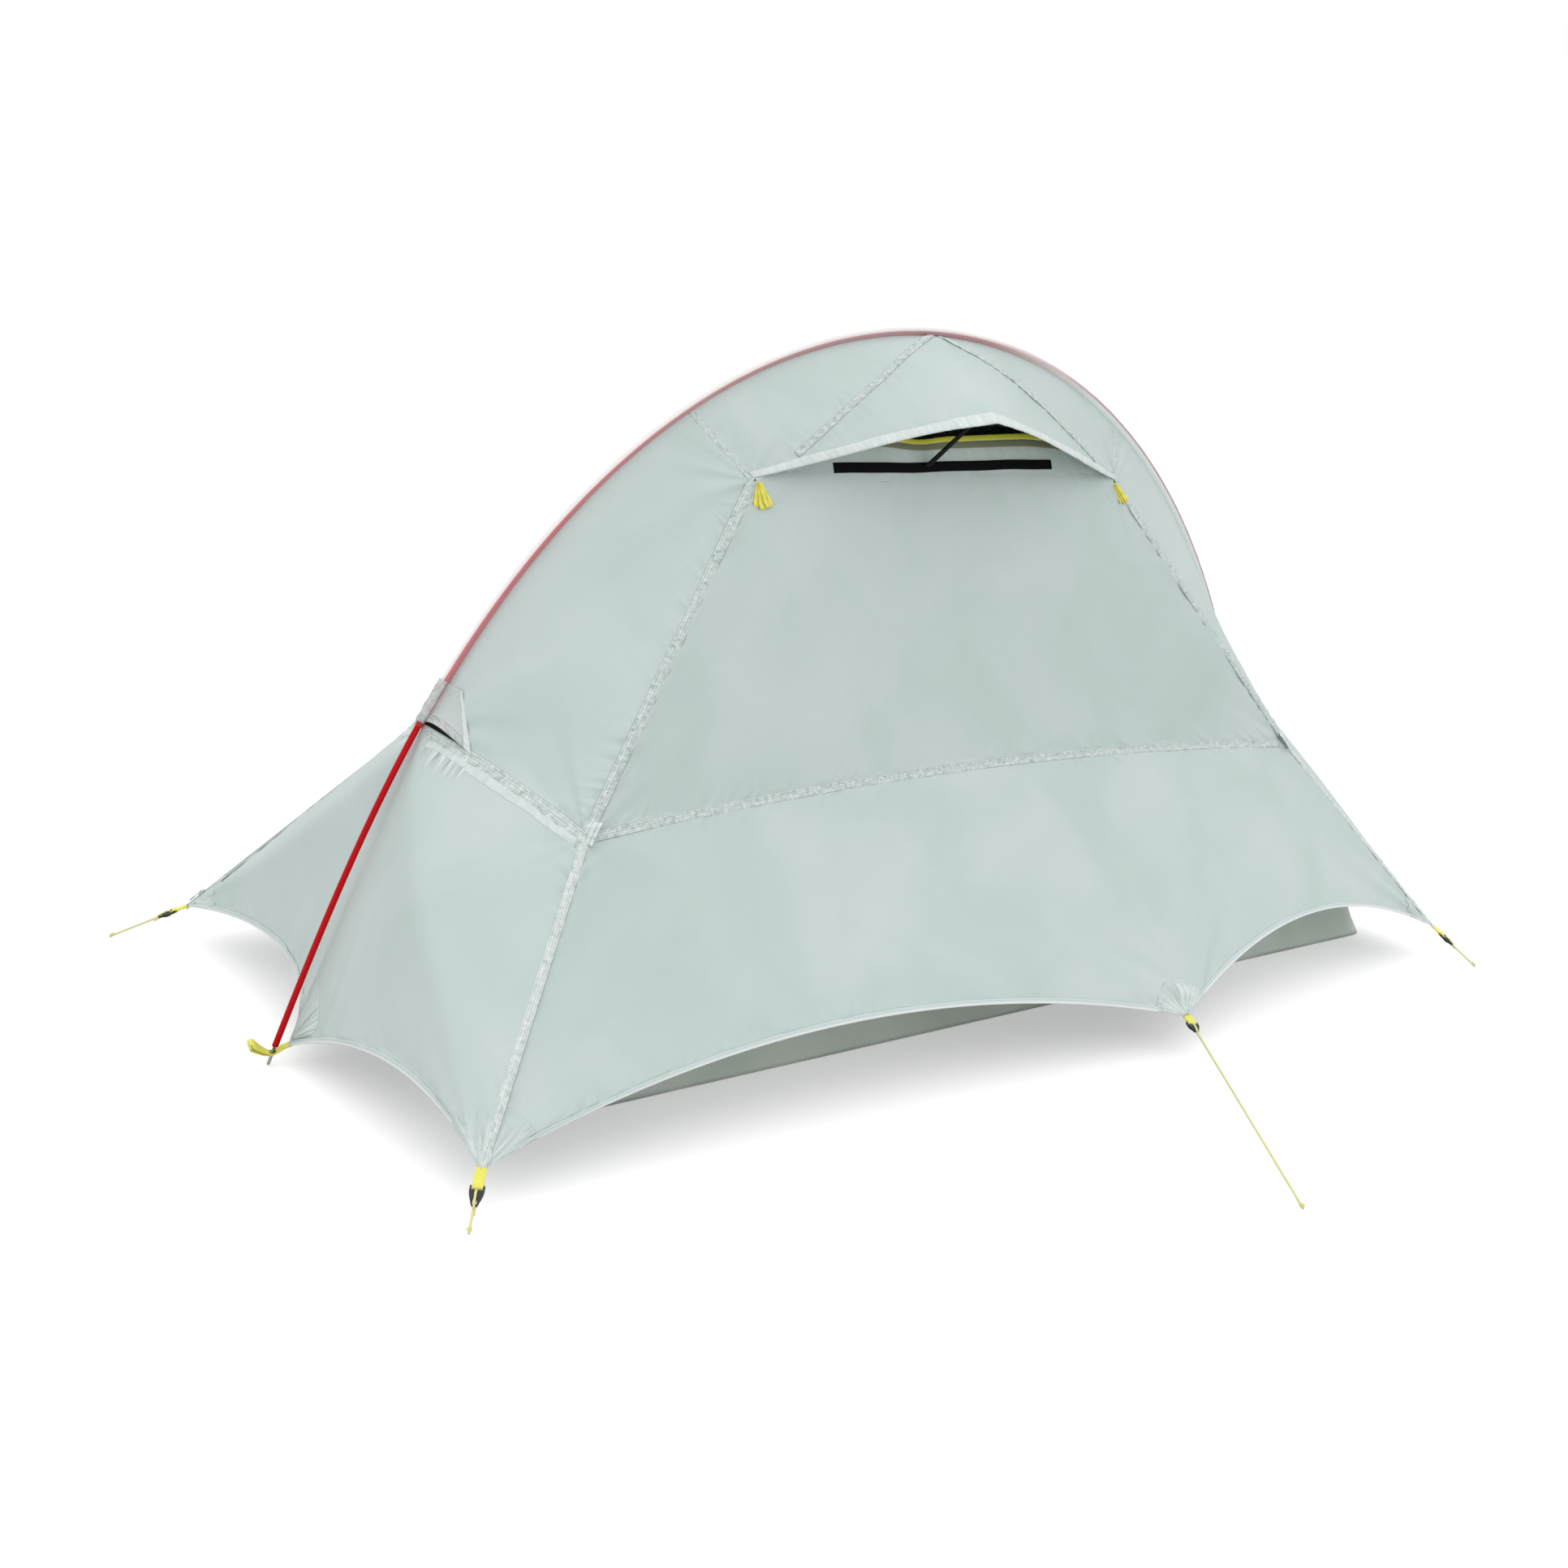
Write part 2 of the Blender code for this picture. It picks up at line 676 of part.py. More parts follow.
def make_vent_gear(tape, plastic):
    """Hook strip on each collar and the stiff prop that stands on it under the brow's lip."""
    for side, sy in SIDES_Y:
        normal = strip_normal(sy)
        low = []
        high = []
        for rise in (STRIP_RISE, STRIP_RISE + STRIP_HEIGHT):
            row = []
            for i in range(CELLS_ACROSS + 1):
                x = STRIP_HALF_LENGTH * (2 * i / CELLS_ACROSS - 1)
                row.append(strip_point(sy, x, rise))
            low.append([p + normal * (2 * GAP) for p in row])
            high.append([p + normal * (2 * GAP + STRIP_THICKNESS) for p in row])
        add_object(f"hook_strip_{side}", close_sheet(high, low), tape)
        hinge, frame = prop_frame(side, sy)
        length = PROP_LEAN.length
        half = PROP_THICKNESS / 2
        blade = window_plate((-PROP_WIDTH / 2, PROP_WIDTH / 2), (-half, length), (), PROP_THICKNESS)
        bmesh.ops.transform(blade, matrix=frame, verts=blade.verts)
        add_object(f"vent_prop_{side}", blade, plastic, origin=hinge)


def prop_frame(side, sy):
    """Foot of the prop on the strip, and the frame with local Y up the prop."""
    turn = -sy
    foot = strip_point(sy, -turn * PROP_X, STRIP_RISE + STRIP_HEIGHT / 2)
    offset = 2 * GAP + STRIP_THICKNESS + PROP_FOOT_CLEARANCE
    foot = foot + strip_normal(sy) * offset
    lean = Vector((turn * PROP_LEAN.x, sy * PROP_LEAN.y, PROP_LEAN.z))
    return foot, local_frame(foot, lean, Vector((1.0, 0.0, 0.0)))


def local_frame(origin, along, across):
    """Matrix whose Y runs along, X as near across as it can, and Z square to both."""
    y = along.normalized()
    z = across.cross(y).normalized()
    x = y.cross(z)
    frame = Matrix((x, y, z)).transposed().to_4x4()
    frame.translation = origin
    return frame


def window_plate(xs, ys, windows, thickness):
    """Flat plate in cells between the xs and ys, without the cells named in windows."""
    grid_low = [[Vector((x, y, -thickness / 2)) for x in xs] for y in ys]
    grid_high = [[Vector((x, y, thickness / 2)) for x in xs] for y in ys]
    hole = None
    if windows:
        (i, j) = windows
        hole = ((i, i + 1), (j, j + 1))
    return close_sheet(grid_high, grid_low, hole)


def needle_eye(tongue, half_thickness, eye_radius, width):
    """Webbing sewn double, opening round an eye at its end: root at 0, eye at tongue."""
    outer_radius = eye_radius + EYE_WALL
    angles = [math.radians(a) for a in (120, 80, 40, 0, -40, -80, -120)]
    neck = tongue - 2.4 * outer_radius
    outer = [(0.0, half_thickness), (neck, half_thickness)]
    outer += [
        (tongue + outer_radius * math.cos(a), outer_radius * math.sin(a)) for a in angles
    ]
    outer += [(neck, -half_thickness), (0.0, -half_thickness)]
    inner = [(tongue - 2.0 * eye_radius, 0.1 * eye_radius)]
    inner += [(tongue - 1.5 * eye_radius, 0.4 * eye_radius)]
    inner += [(tongue + eye_radius * math.cos(a), eye_radius * math.sin(a)) for a in angles]
    inner += [(tongue - 1.5 * eye_radius, -0.4 * eye_radius)]
    inner += [(tongue - 2.0 * eye_radius, -0.1 * eye_radius)]
    half = width / 2
    rings = []
    for loop, x in ((outer, -half), (outer, half), (inner, half), (inner, -half)):
        rings.append([Vector((x, y, z)) for y, z in loop])
    return skin_rings(rings, hollow=True)


def make_guy(name, anchor, peg, webbing, plastic, line, on_door=False):
    """Webbing loop on the fly, adjuster hinged in its eye, and the line to the ground."""
    ground = Vector((peg[0], peg[1], LINE_RADIUS))
    along = (ground - anchor).normalized()
    across = Vector((0.0, 0.0, 1.0)).cross(along).normalized()
    on_hem = GAP if name.endswith("side") else 0.0
    root = anchor + along * (LOOP_ROOT_GAP + on_hem)
    eye = root + along * LOOP_REACH
    loop = needle_eye(LOOP_REACH, WEBBING_HALF_THICKNESS, EYE_RADIUS, WEBBING_WIDTH)
    frame = local_frame(root, along, across)
    bmesh.ops.transform(loop, matrix=frame, verts=loop.verts)
    hinge = place(BROW_CHORD(0.5), 1, 1) if on_door else None
    add_object(f"webbing_loop_{name}", loop, webbing, origin=hinge)

    half_slot = WEBBING_WIDTH / 2 + GAP
    half_width = half_slot + ADJUSTER_RAIL
    top = -ADJUSTER_BAR / 2
    ys = (top, top + ADJUSTER_BAR, top + ADJUSTER_BAR + ADJUSTER_SLOT, top + ADJUSTER_LENGTH)
    xs = (-half_width, -half_slot, half_slot, half_width)
    plate = window_plate(xs, ys, (1, 1), ADJUSTER_THICKNESS)
    for corner in plate.verts:
        if corner.co.y > ys[2] + GAP:
            corner.co.x *= ADJUSTER_TAPER
    frame = local_frame(eye, along, across)
    bmesh.ops.transform(plate, matrix=frame, verts=plate.verts)
    add_object(f"line_adjuster_{name}", plate, plastic, origin=eye)

    start = eye + along * (top + ADJUSTER_LENGTH + GAP)
    run = (ground - start).length
    count = max(round(run / LINE_POINT_SPACING), 3)
    points = [start.lerp(ground, k / count) for k in range(count + 1)]
    make_cord(f"guyline_{name}", points, LINE_RADIUS, line, origin=eye)


def make_guys(webbing, plastic, line):
    pegs = {
        ("near", "left"): PEG_NEAR_LEFT,
        ("near", "right"): PEG_NEAR_RIGHT,
        ("far", "left"): PEG_FAR_LEFT,
        ("far", "right"): PEG_FAR_RIGHT,
    }
    for side, sy in SIDES_Y:
        for end, sx in SIDES_X:
            anchor = place(CORNER, sx, sy)
            make_guy(f"{side}_{end}", anchor, pegs[side, end], webbing, plastic, line)
        anchor = place(SIDE_GUY, -sy, sy)
        peg = (sy * PEG_SIDE[0], sy * PEG_SIDE[1])
        make_guy(f"{side}_side", anchor, peg, webbing, plastic, line, side == "far")


def make_brow_loops(webbing):
    """Doubled webbing tag sewn at each lower corner of the brows, beside the seam.

    On the side of the door it lies over the fixed panel, clear of the door.
    """
    for side, sy in SIDES_Y:
        for end, sx in SIDES_X:
            low = place(BROW_CORNER, sx, sy)
            along = (place(HIP, sx, sy) - low).normalized()
            if side == "far":
                inside = side_surface(sx, sy)(0.06, 0.85) - side_surface(sx, sy)(0.06, 1.0)
            else:
                inside = Vector((-sx, 0.0, 0.0))
            inside = square_to(inside, along)
            normal = along.cross(inside)
            if normal.dot(toward_core(low)) > 0:
                normal = -normal
            clear = WEBBING_HALF_THICKNESS + BROW_LOOP_CLEARANCE
            rise = (EYE_RADIUS + EYE_WALL) / BROW_LOOP_REACH
            root = low + inside * (WEBBING_WIDTH / 2 + 2 * GAP) + normal * clear
            root = root + along * BROW_LOOP_START
            tag = needle_eye(BROW_LOOP_REACH, WEBBING_HALF_THICKNESS, EYE_RADIUS, WEBBING_WIDTH)
            frame = local_frame(root, along + normal * rise, inside)
            bmesh.ops.transform(tag, matrix=frame, verts=tag.verts)
            add_object(f"brow_loop_{side}_{end}", tag, webbing)


def make_foot_straps(webbing):
    """Strap from the fly's end edge, with a hole for the pole tip and a pull loop."""
    for end, sx in SIDES_X:
        root = Vector((sx * (FOOT_EDGE.x + 2 * GAP), 0.0, STRAP_HEIGHT))
        frame = local_frame(root, Vector((sx, 0.0, 0.0)), Vector((0.0, -sx, 0.0)))
        strap = needle_eye(STRAP_REACH, STRAP_HALF_THICKNESS, EYE_RADIUS, STRAP_WIDTH)
        bmesh.ops.transform(strap, matrix=frame, verts=strap.verts)
        obj = add_object(f"foot_strap_{end}", strap, webbing)
        foot, direction = on_pole(0)
        radius = TIP_PIN_RADIUS + STRAP_HOLE_CLEARANCE
        rings = []
        for reach in (0.012, 0.036):
            point = foot + direction * reach
            hole = ring(point, direction, radius / math.cos(math.pi / TUBE_SIDES))
            rings.append([place(p, -sx, 1) for p in hole])
        cutter = add_object(f"cutter_{end}", skin_rings(rings, hollow=False), webbing)
        cutter.hide_render = True
        cutter.display_type = "WIRE"
        cut = obj.modifiers.new("tip hole", "BOOLEAN")
        cut.operation = "DIFFERENCE"
        cut.object = cutter


def floor_outline(inset, lean):
    """Outline of the tray with round corners, narrower at the foot end."""
    points = []
    radius = FLOOR_CORNER_RADIUS - inset
    for sx, sy, start in ((1, 1, 0), (-1, 1, 90), (-1, -1, 180), (1, -1, 270)):
        width = FLOOR_HEAD_HALF_WIDTH if sx > 0 else FLOOR_FOOT_HALF_WIDTH
        width = width - inset - lean
        end = HALF_SPAN - (FLOOR_HEAD_END_INSET if sx > 0 else FLOOR_FOOT_END_INSET)
        end = end - inset - lean
        for k in range(4):
            a = math.radians(start + 30 * k)
            x = sx * (end - radius) + radius * math.cos(a)
            y = sy * (width - radius) + radius * math.sin(a)
            points.append((x, y))
    return points


def make_floor(coated):
    """Waterproof tray: flat floor with leaning walls, one thickness throughout."""
    levels = (
        (0.0, 0.0, 0.0),
        (0.0, FLOOR_WALL_LEAN, FLOOR_WALL_HEIGHT),
        (FLOOR_THICKNESS, FLOOR_WALL_LEAN, FLOOR_WALL_HEIGHT),
        (FLOOR_THICKNESS, 0.0, FLOOR_THICKNESS),
    )
    rings = []
    for inset, lean, z in levels:
        rings.append([Vector((x, y, z)) for x, y in floor_outline(inset, lean)])
    add_object("inner_floor", skin_rings(rings, hollow=False), coated)


def make_inner_walls(net):
    """Mesh walls from the tray's rim to the inner ridge; the far one has the doorway."""
    z = FLOOR_WALL_HEIGHT + GAP
    inset = FLOOR_THICKNESS / 2
    lean = FLOOR_WALL_LEAN
    foot_end = inset + lean + FLOOR_FOOT_END_INSET - HALF_SPAN
    head_end = HALF_SPAN - FLOOR_HEAD_END_INSET - inset - lean
    foot = FLOOR_FOOT_HALF_WIDTH - inset - lean
    head = FLOOR_HEAD_HALF_WIDTH - inset - lean
    cut = FLOOR_CORNER_RADIUS * 0.3
    top = ridge(INNER_RIDGE_END, POLE_LENGTH - INNER_RIDGE_END, INNER_RIDGE_DROP)
    for side, sy in SIDES_Y:
        rim = [Vector((foot_end, 0.0, z)), Vector((foot_end, sy * foot / 2, z))]
        rim.append(Vector((foot_end, sy * (foot - FLOOR_CORNER_RADIUS), z)))
        rim.append(Vector((foot_end + cut, sy * (foot - cut), z)))
        left = Vector((foot_end + FLOOR_CORNER_RADIUS, sy * foot, z))
        right = Vector((head_end - FLOOR_CORNER_RADIUS, sy * head, z))
        cells = CELLS_ACROSS - 2
        rim += [left.lerp(right, k / cells) for k in range(cells + 1)]
        rim.append(Vector((head_end - cut, sy * (head - cut), z)))
        rim.append(Vector((head_end, sy * (head - FLOOR_CORNER_RADIUS), z)))
        rim += [Vector((head_end, sy * head / 2, z)), Vector((head_end, 0.0, z))]
        rows = CELLS_SHORT + 2
        columns = len(rim) - 1
        grid = []
        for j in range(rows + 1):
            row = []
            for i, low in enumerate(rim):
                high = top(i / columns)
                row.append(low.lerp(high, j / rows))
            grid.append(row)
        for j in range(1, rows + 1):
            for i in (0, columns):
                grid[j][i].y = 0.0
        hole = (DOORWAY_CELLS, DOORWAY_ROWS) if side == "far" else None
        make_sheet(f"inner_wall_{side}", grid, net, hole)


def make_inner_hanger(webbing):
    """Tab that hangs the inner tent's ridge from the fly at the top of the arch."""
    top = POLE_RISE - RIDGE_DROP - HANGER_DROP
    foot = POLE_RISE - INNER_RIDGE_DROP - HANGER_REACH
    length = top - foot
    half = WEBBING_WIDTH / 2
    tab = window_plate((-half, half), (0.0, length), (), 2 * WEBBING_HALF_THICKNESS)
    root = Vector((0.0, 0.0, foot))
    frame = local_frame(root, Vector((0.0, 0.0, 1.0)), Vector((1.0, 0.0, 0.0)))
    bmesh.ops.transform(tab, matrix=frame, verts=tab.verts)
    add_object("inner_hanger", tab, webbing)


def make_zip_sliders(metal):
    """Sliders of the door's two zips, at rest by the lower corners of the door."""
    for end, sx in SIDES_X:
        low = place(CORNER, sx, 1)
        along = (place(HIP, sx, 1) - low).normalized()
        # It rides on the seam itself, and both panels fall away beside it
        normal = square_to(-toward_core(low), along)
        inside = along.cross(normal)
        clear = SLIDER_THICKNESS / 2 + SLIDER_CLEARANCE
        spot = low + along * SLIDER_START + normal * clear
        half = SLIDER_WIDTH / 2
        body = window_plate((-half, half), (0.0, SLIDER_LENGTH), (), SLIDER_THICKNESS)
        frame = local_frame(spot, along, inside)
        bmesh.ops.transform(body, matrix=frame, verts=body.verts)
        add_object(f"zip_slider_{end}", body, metal, origin=spot)


def build():
    clear_scene()
    fly = material("fly_fabric", FLY_GREEN, 0.55)
    floor = material("floor_fabric", FLOOR_GREEN, 0.6)
    net = material("mesh", NET_BLACK, 0.9)
    pink = material("sleeve_fabric", SLEEVE_PINK, 0.5)
    red = material("anodised_red", POLE_RED, 0.3, 0.8)
    metal = material("aluminium", BARE_ALUMINIUM, 0.35, 1.0)
    webbing = material("webbing", WEBBING_YELLOW, 0.7)
    line = material("line", LINE_YELLOW, 0.7)
    plastic = material("black_plastic", PLASTIC_BLACK, 0.4)
    make_pole(red)
    make_shock_cord(plastic)
    make_pole_tips(metal)
    make_sleeve(pink)
    make_upper_fly(fly)
    make_walls(fly)
    make_ends(fly)
    make_end_hoods(fly)
    make_vent_gear(plastic, plastic)
    make_floor(floor)
    make_inner_walls(net)
    make_inner_hanger(webbing)
    make_guys(webbing, plastic, line)
    make_brow_loops(webbing)
    make_foot_straps(webbing)
    make_zip_sliders(metal)
    print(f"pole {POLE_LENGTH:.4f} m, half span {HALF_SPAN:.4f} m")


build()
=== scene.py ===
import math

import bmesh
import bpy
import numpy as np
from mathutils import Matrix, Vector


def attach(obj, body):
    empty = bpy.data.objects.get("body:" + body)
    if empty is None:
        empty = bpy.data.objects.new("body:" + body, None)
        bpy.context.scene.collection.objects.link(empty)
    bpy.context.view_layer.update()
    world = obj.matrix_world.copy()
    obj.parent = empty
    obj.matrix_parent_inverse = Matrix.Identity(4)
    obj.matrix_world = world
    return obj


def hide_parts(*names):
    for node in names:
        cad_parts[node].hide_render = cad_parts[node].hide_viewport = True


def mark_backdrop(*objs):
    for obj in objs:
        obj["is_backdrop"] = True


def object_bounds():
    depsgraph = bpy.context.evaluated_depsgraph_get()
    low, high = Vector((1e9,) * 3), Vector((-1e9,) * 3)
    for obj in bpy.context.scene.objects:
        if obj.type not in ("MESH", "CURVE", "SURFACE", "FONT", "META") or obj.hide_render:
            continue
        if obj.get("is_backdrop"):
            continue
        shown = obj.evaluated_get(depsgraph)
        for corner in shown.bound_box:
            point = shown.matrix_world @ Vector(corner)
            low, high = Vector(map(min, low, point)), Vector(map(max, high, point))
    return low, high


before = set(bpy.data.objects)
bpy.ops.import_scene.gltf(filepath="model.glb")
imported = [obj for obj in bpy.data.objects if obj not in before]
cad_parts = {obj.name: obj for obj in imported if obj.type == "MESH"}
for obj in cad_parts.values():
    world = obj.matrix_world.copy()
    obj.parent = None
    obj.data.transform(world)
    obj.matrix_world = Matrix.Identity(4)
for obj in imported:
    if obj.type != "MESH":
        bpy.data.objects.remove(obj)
cad_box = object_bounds()


# Camera.
# It stands at the near left, a little above the tent, where the photograph was taken, and
# it is rolled by six degrees as the photograph is.
CAMERA_PLACE = Vector((-2.0333, -2.2051, 1.1615))
CAMERA_YAW = 0.6919
CAMERA_PITCH = 0.286
CAMERA_ROLL = 0.106
camera_data = bpy.data.cameras.new("camera")
camera_data.lens = 42.167
camera_data.sensor_width = 36.0
camera = bpy.data.objects.new("camera", camera_data)
bpy.context.scene.collection.objects.link(camera)
ahead = Vector(
    (
        math.sin(CAMERA_YAW) * math.cos(CAMERA_PITCH),
        math.cos(CAMERA_YAW) * math.cos(CAMERA_PITCH),
        -math.sin(CAMERA_PITCH),
    )
)
level = Vector((math.cos(CAMERA_YAW), -math.sin(CAMERA_YAW), 0.0))
upright = level.cross(ahead)
camera_right = math.cos(CAMERA_ROLL) * level + math.sin(CAMERA_ROLL) * upright
camera_up = -math.sin(CAMERA_ROLL) * level + math.cos(CAMERA_ROLL) * upright
turned = Matrix((camera_right, camera_up, -ahead)).transposed().to_4x4()
camera.matrix_world = Matrix.Translation(CAMERA_PLACE) @ turned
bpy.context.scene.camera = camera


# Guy lines.
# Six braided polyester cords of 3.6 mm. Each leaves its adjuster, runs taut to the ground
# and ends there in a small overhand knot. A peg, which isn't shown, holds it.
LINE_RADIUS = 0.0018
HALF_SPAN = 1.07620
CORNER = np.array((HALF_SPAN - 0.066, 0.478, 0.0565))
SIDE_GUY = np.array((0.2025, 0.5585, 0.060))
SEAM_TO_LOOP = 0.0007
HEM_TO_LOOP = 0.0010
LOOP_REACH = 0.021
ADJUSTER_LENGTH = 0.026
ADJUSTER_BAR = 0.003
CAD_GAP = 0.0003
KNOT_SIZE = 0.0021
GUY_PEGS = {
    "near_left": (CORNER * (-1, -1, 1), (-1.047, -0.521), "tent"),
    "near_right": (CORNER * (1, -1, 1), (1.040, -0.560), "tent"),
    "near_side": (SIDE_GUY * (1, -1, 1), (-0.047, -0.980), "tent"),
    "far_left": (CORNER * (-1, 1, 1), (-1.114, 0.530), "tent"),
    "far_right": (CORNER * (1, 1, 1), (1.047, 0.521), "tent"),
    "far_side": (SIDE_GUY * (-1, 1, 1), (0.047, 0.980), "door"),
}


def unit(vectors):
    vectors = np.asarray(vectors, float)
    return vectors / np.maximum(np.linalg.norm(vectors, axis=-1, keepdims=True), 1e-9)


def new_material(name, colour, roughness, metallic=0.0, sheen=0.0, specular=0.5):
    made = bpy.data.materials.new(name)
    made.use_nodes = True
    values = {"Base Color": (*colour, 1.0), "Roughness": roughness, "Metallic": metallic,
              "Sheen Weight": sheen, "Specular IOR Level": specular}
    for key, value in values.items():
        made.node_tree.nodes["Principled BSDF"].inputs[key].default_value = value
    return made


def add_node(made, kind, inputs, **settings):
    """Node of a material whose inputs are values or the outputs of other nodes."""
    node = made.node_tree.nodes.new(kind)
    for key, value in settings.items():
        setattr(node, key, value)
    for key, value in inputs.items():
        if isinstance(value, bpy.types.NodeSocket):
            made.node_tree.links.new(value, node.inputs[key])
        else:
            node.inputs[key].default_value = value
    return node


def texture(made, kind, source, scale, inputs, **settings):
    """Value of a texture read at a coordinate that is scaled on each axis."""
    place = add_node(made, "ShaderNodeTexCoord", {}).outputs[source]
    mapped = add_node(made, "ShaderNodeMapping", {"Vector": place, "Scale": scale}).outputs["Vector"]
    return add_node(made, kind, {"Vector": mapped, "Scale": 1.0, **inputs}, **settings).outputs["Fac"]


def bands(made, scale, direction, **inputs):
    return texture(made, "ShaderNodeTexWave", "UV", scale, inputs, bands_direction=direction)


def calculated(made, operation, *values):
    return add_node(made, "ShaderNodeMath", dict(enumerate(values)), operation=operation).outputs[0]


def ramp(made, factor, *stops, interpolation="LINEAR"):
    """Colour that runs from stop to stop with a value."""
    node = add_node(made, "ShaderNodeValToRGB", {"Fac": factor})
    node.color_ramp.interpolation = interpolation
    elements = node.color_ramp.elements
    for k in (0, 1):
        elements[k].position = stops[-k][0]
        elements[k].color = (*stops[-k][1], 1.0)
    for place, colour in stops[1:-1]:
        elements.new(place).color = (*colour, 1.0)
    return node.outputs["Color"]


def paint(made, colour):
    """Colours the surface with a node's output."""
    made.node_tree.links.new(colour, made.node_tree.nodes["Principled BSDF"].inputs["Base Color"])


def tinted(made, factor, dark, light, low=0.0, high=1.0):
    """Surface colour that runs from dark to light with a texture's value."""
    paint(made, ramp(made, factor, (low, dark), (high, light)))


def add_bump(made, height, strength, distance):
    """Roughens the surface with a value, on top of what roughens it already."""
    normal = made.node_tree.nodes["Principled BSDF"].inputs["Normal"]
    inputs = {"Strength": strength, "Distance": distance, "Height": height}
    if normal.is_linked:
        inputs["Normal"] = normal.links[0].from_socket
    made.node_tree.links.new(add_node(made, "ShaderNodeBump", inputs).outputs["Normal"], normal)


def mapped_mesh(name, points, uv):
    """Grid of cells with every vertex moved to its point: rows run down, columns across."""
    rows, columns = points.shape[0] - 1, points.shape[1] - 1
    bm = bmesh.new()
    bmesh.ops.create_grid(bm, x_segments=columns, y_segments=rows, size=1.0)
    bm.faces.ensure_lookup_table()
    bm.verts.index_update()
    flat = np.array([v.co for v in bm.verts])
    across = flat[:, 0] - flat[:, 0].min()
    down = flat[:, 1].max() - flat[:, 1]
    i = np.rint(across / across.max() * columns).astype(int)
    j = np.rint(down / down.max() * rows).astype(int)
    mesh = bpy.data.meshes.new(name)
    bm.to_mesh(mesh)
    bm.free()
    mesh.vertices.foreach_set("co", points[j, i].ravel())
    corners = np.empty(len(mesh.loops), int)
    mesh.loops.foreach_get("vertex_index", corners)
    layer = mesh.uv_layers.new(name="UVMap")
    layer.data.foreach_set("uv", uv[j, i][corners].ravel())
    mesh.update()
    return mesh


def add_piece(name, mesh, made, body, slot, *replaced):
    obj = bpy.data.objects.new(name, mesh)
    bpy.context.scene.collection.objects.link(obj)
    mesh.materials.clear()
    mesh.materials.append(made)
    mesh.polygons.foreach_set("use_smooth", np.ones(len(mesh.polygons), bool))
    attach(obj, body)
    if replaced:
        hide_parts(*replaced)
    return obj


def closed_mesh(mesh, merge=1e-6):
    """Merges the edges that meet, caps what is still open and turns all faces outward."""
    bm = bmesh.new()
    bm.from_mesh(mesh)
    bmesh.ops.remove_doubles(bm, verts=bm.verts, dist=merge)
    loose = [e for e in bm.edges if e.is_boundary]
    if loose:
        bmesh.ops.holes_fill(bm, edges=loose)
    bmesh.ops.recalc_face_normals(bm, faces=bm.faces)
    bm.to_mesh(mesh)
    bm.free()
    return mesh


def add_tube(name, path, radii, sides, made, body, slot, *replaced, loop=False):
    """Round tube along a path, with u round it in turns and v along it in metres."""
    path = np.asarray(path, float)
    radii = np.broadcast_to(radii, len(path))
    if loop:
        run = unit(np.roll(path, -1, 0) - np.roll(path, 1, 0))
        run[-1] = run[0]
    else:
        run = unit(np.gradient(path, axis=0))
    side = unit(np.cross(run[0], (0.37, 0.21, 0.9)))
    rings = []
    angle = np.linspace(0, 2 * math.pi, sides + 1)[:, None]
    for k in range(len(path)):
        side = unit(side - run[k] * np.dot(side, run[k]))
        if loop and k == len(path) - 1:
            rings.append(rings[0])
            continue
        up = np.cross(run[k], side)
        rings.append(path[k] + radii[k] * (np.cos(angle) * side + np.sin(angle) * up))
    steps = np.linalg.norm(np.diff(path, axis=0), axis=1)
    lengths = np.concatenate(([0], np.cumsum(steps)))
    uv = np.stack(np.broadcast_arrays(np.linspace(0, 1, sides + 1)[None], lengths[:, None]), -1)
    mesh = closed_mesh(mapped_mesh(name, np.array(rings), uv))
    return add_piece(name, mesh, made, body, slot, *replaced)


def braid_material(name, dark, light):
    """Braided cord: two slanted families of strands crossing round it."""
    made = new_material(name, light, 0.62)
    strands = [bands(made, (3.0, lean * 300.0, 1.0), "DIAGONAL") for lean in (1, -1)]
    crossing = calculated(made, "MAXIMUM", *strands)
    tinted(made, crossing, dark, light, 0.2, 0.8)
    add_bump(made, crossing, 0.5, 0.0004)
    return made


line_yellow = braid_material("guy_line_braid", (0.62, 0.60, 0.20), (0.86, 0.85, 0.42))
guys = {}
for guy, (anchor, peg, holder) in GUY_PEGS.items():
    ground = np.array((*peg, LINE_RADIUS))
    along = unit(ground - anchor)
    root = anchor + along * (HEM_TO_LOOP if guy.endswith("side") else SEAM_TO_LOOP)
    eye = root + along * LOOP_REACH
    start = eye + along * (ADJUSTER_LENGTH - ADJUSTER_BAR / 2 + CAD_GAP)
    guys[guy] = (root, eye, along, holder)
    share = np.linspace(0, 1, 40)[:, None]
    route = start + (ground - start) * share
    line = add_tube(f"guy_line_{guy}", route, LINE_RADIUS, 12, line_yellow, f"guy_{guy}", "line",
                    f"guyline_{guy}")
    turn = np.linspace(0, 2 * math.pi, 61)[:, None]
    lengthwise = np.array((-along[1], along[0], 0.0)) / math.hypot(along[0], along[1])
    middle = ground - along * 0.004 + np.array((0, 0, KNOT_SIZE * 0.9))
    knot_path = middle + KNOT_SIZE * (
        (np.sin(turn) + 2 * np.sin(2 * turn)) / 2.2 * along
        + (np.cos(turn) - 2 * np.cos(2 * turn)) / 2.2 * lengthwise
        - np.sin(3 * turn) / 1.8 * np.array((0.0, 0.0, 1.0))
    )
    knot = add_tube(f"line_knot_{guy}", knot_path, 0.0013, 10, line_yellow, f"guy_{guy}", "line", loop=True)


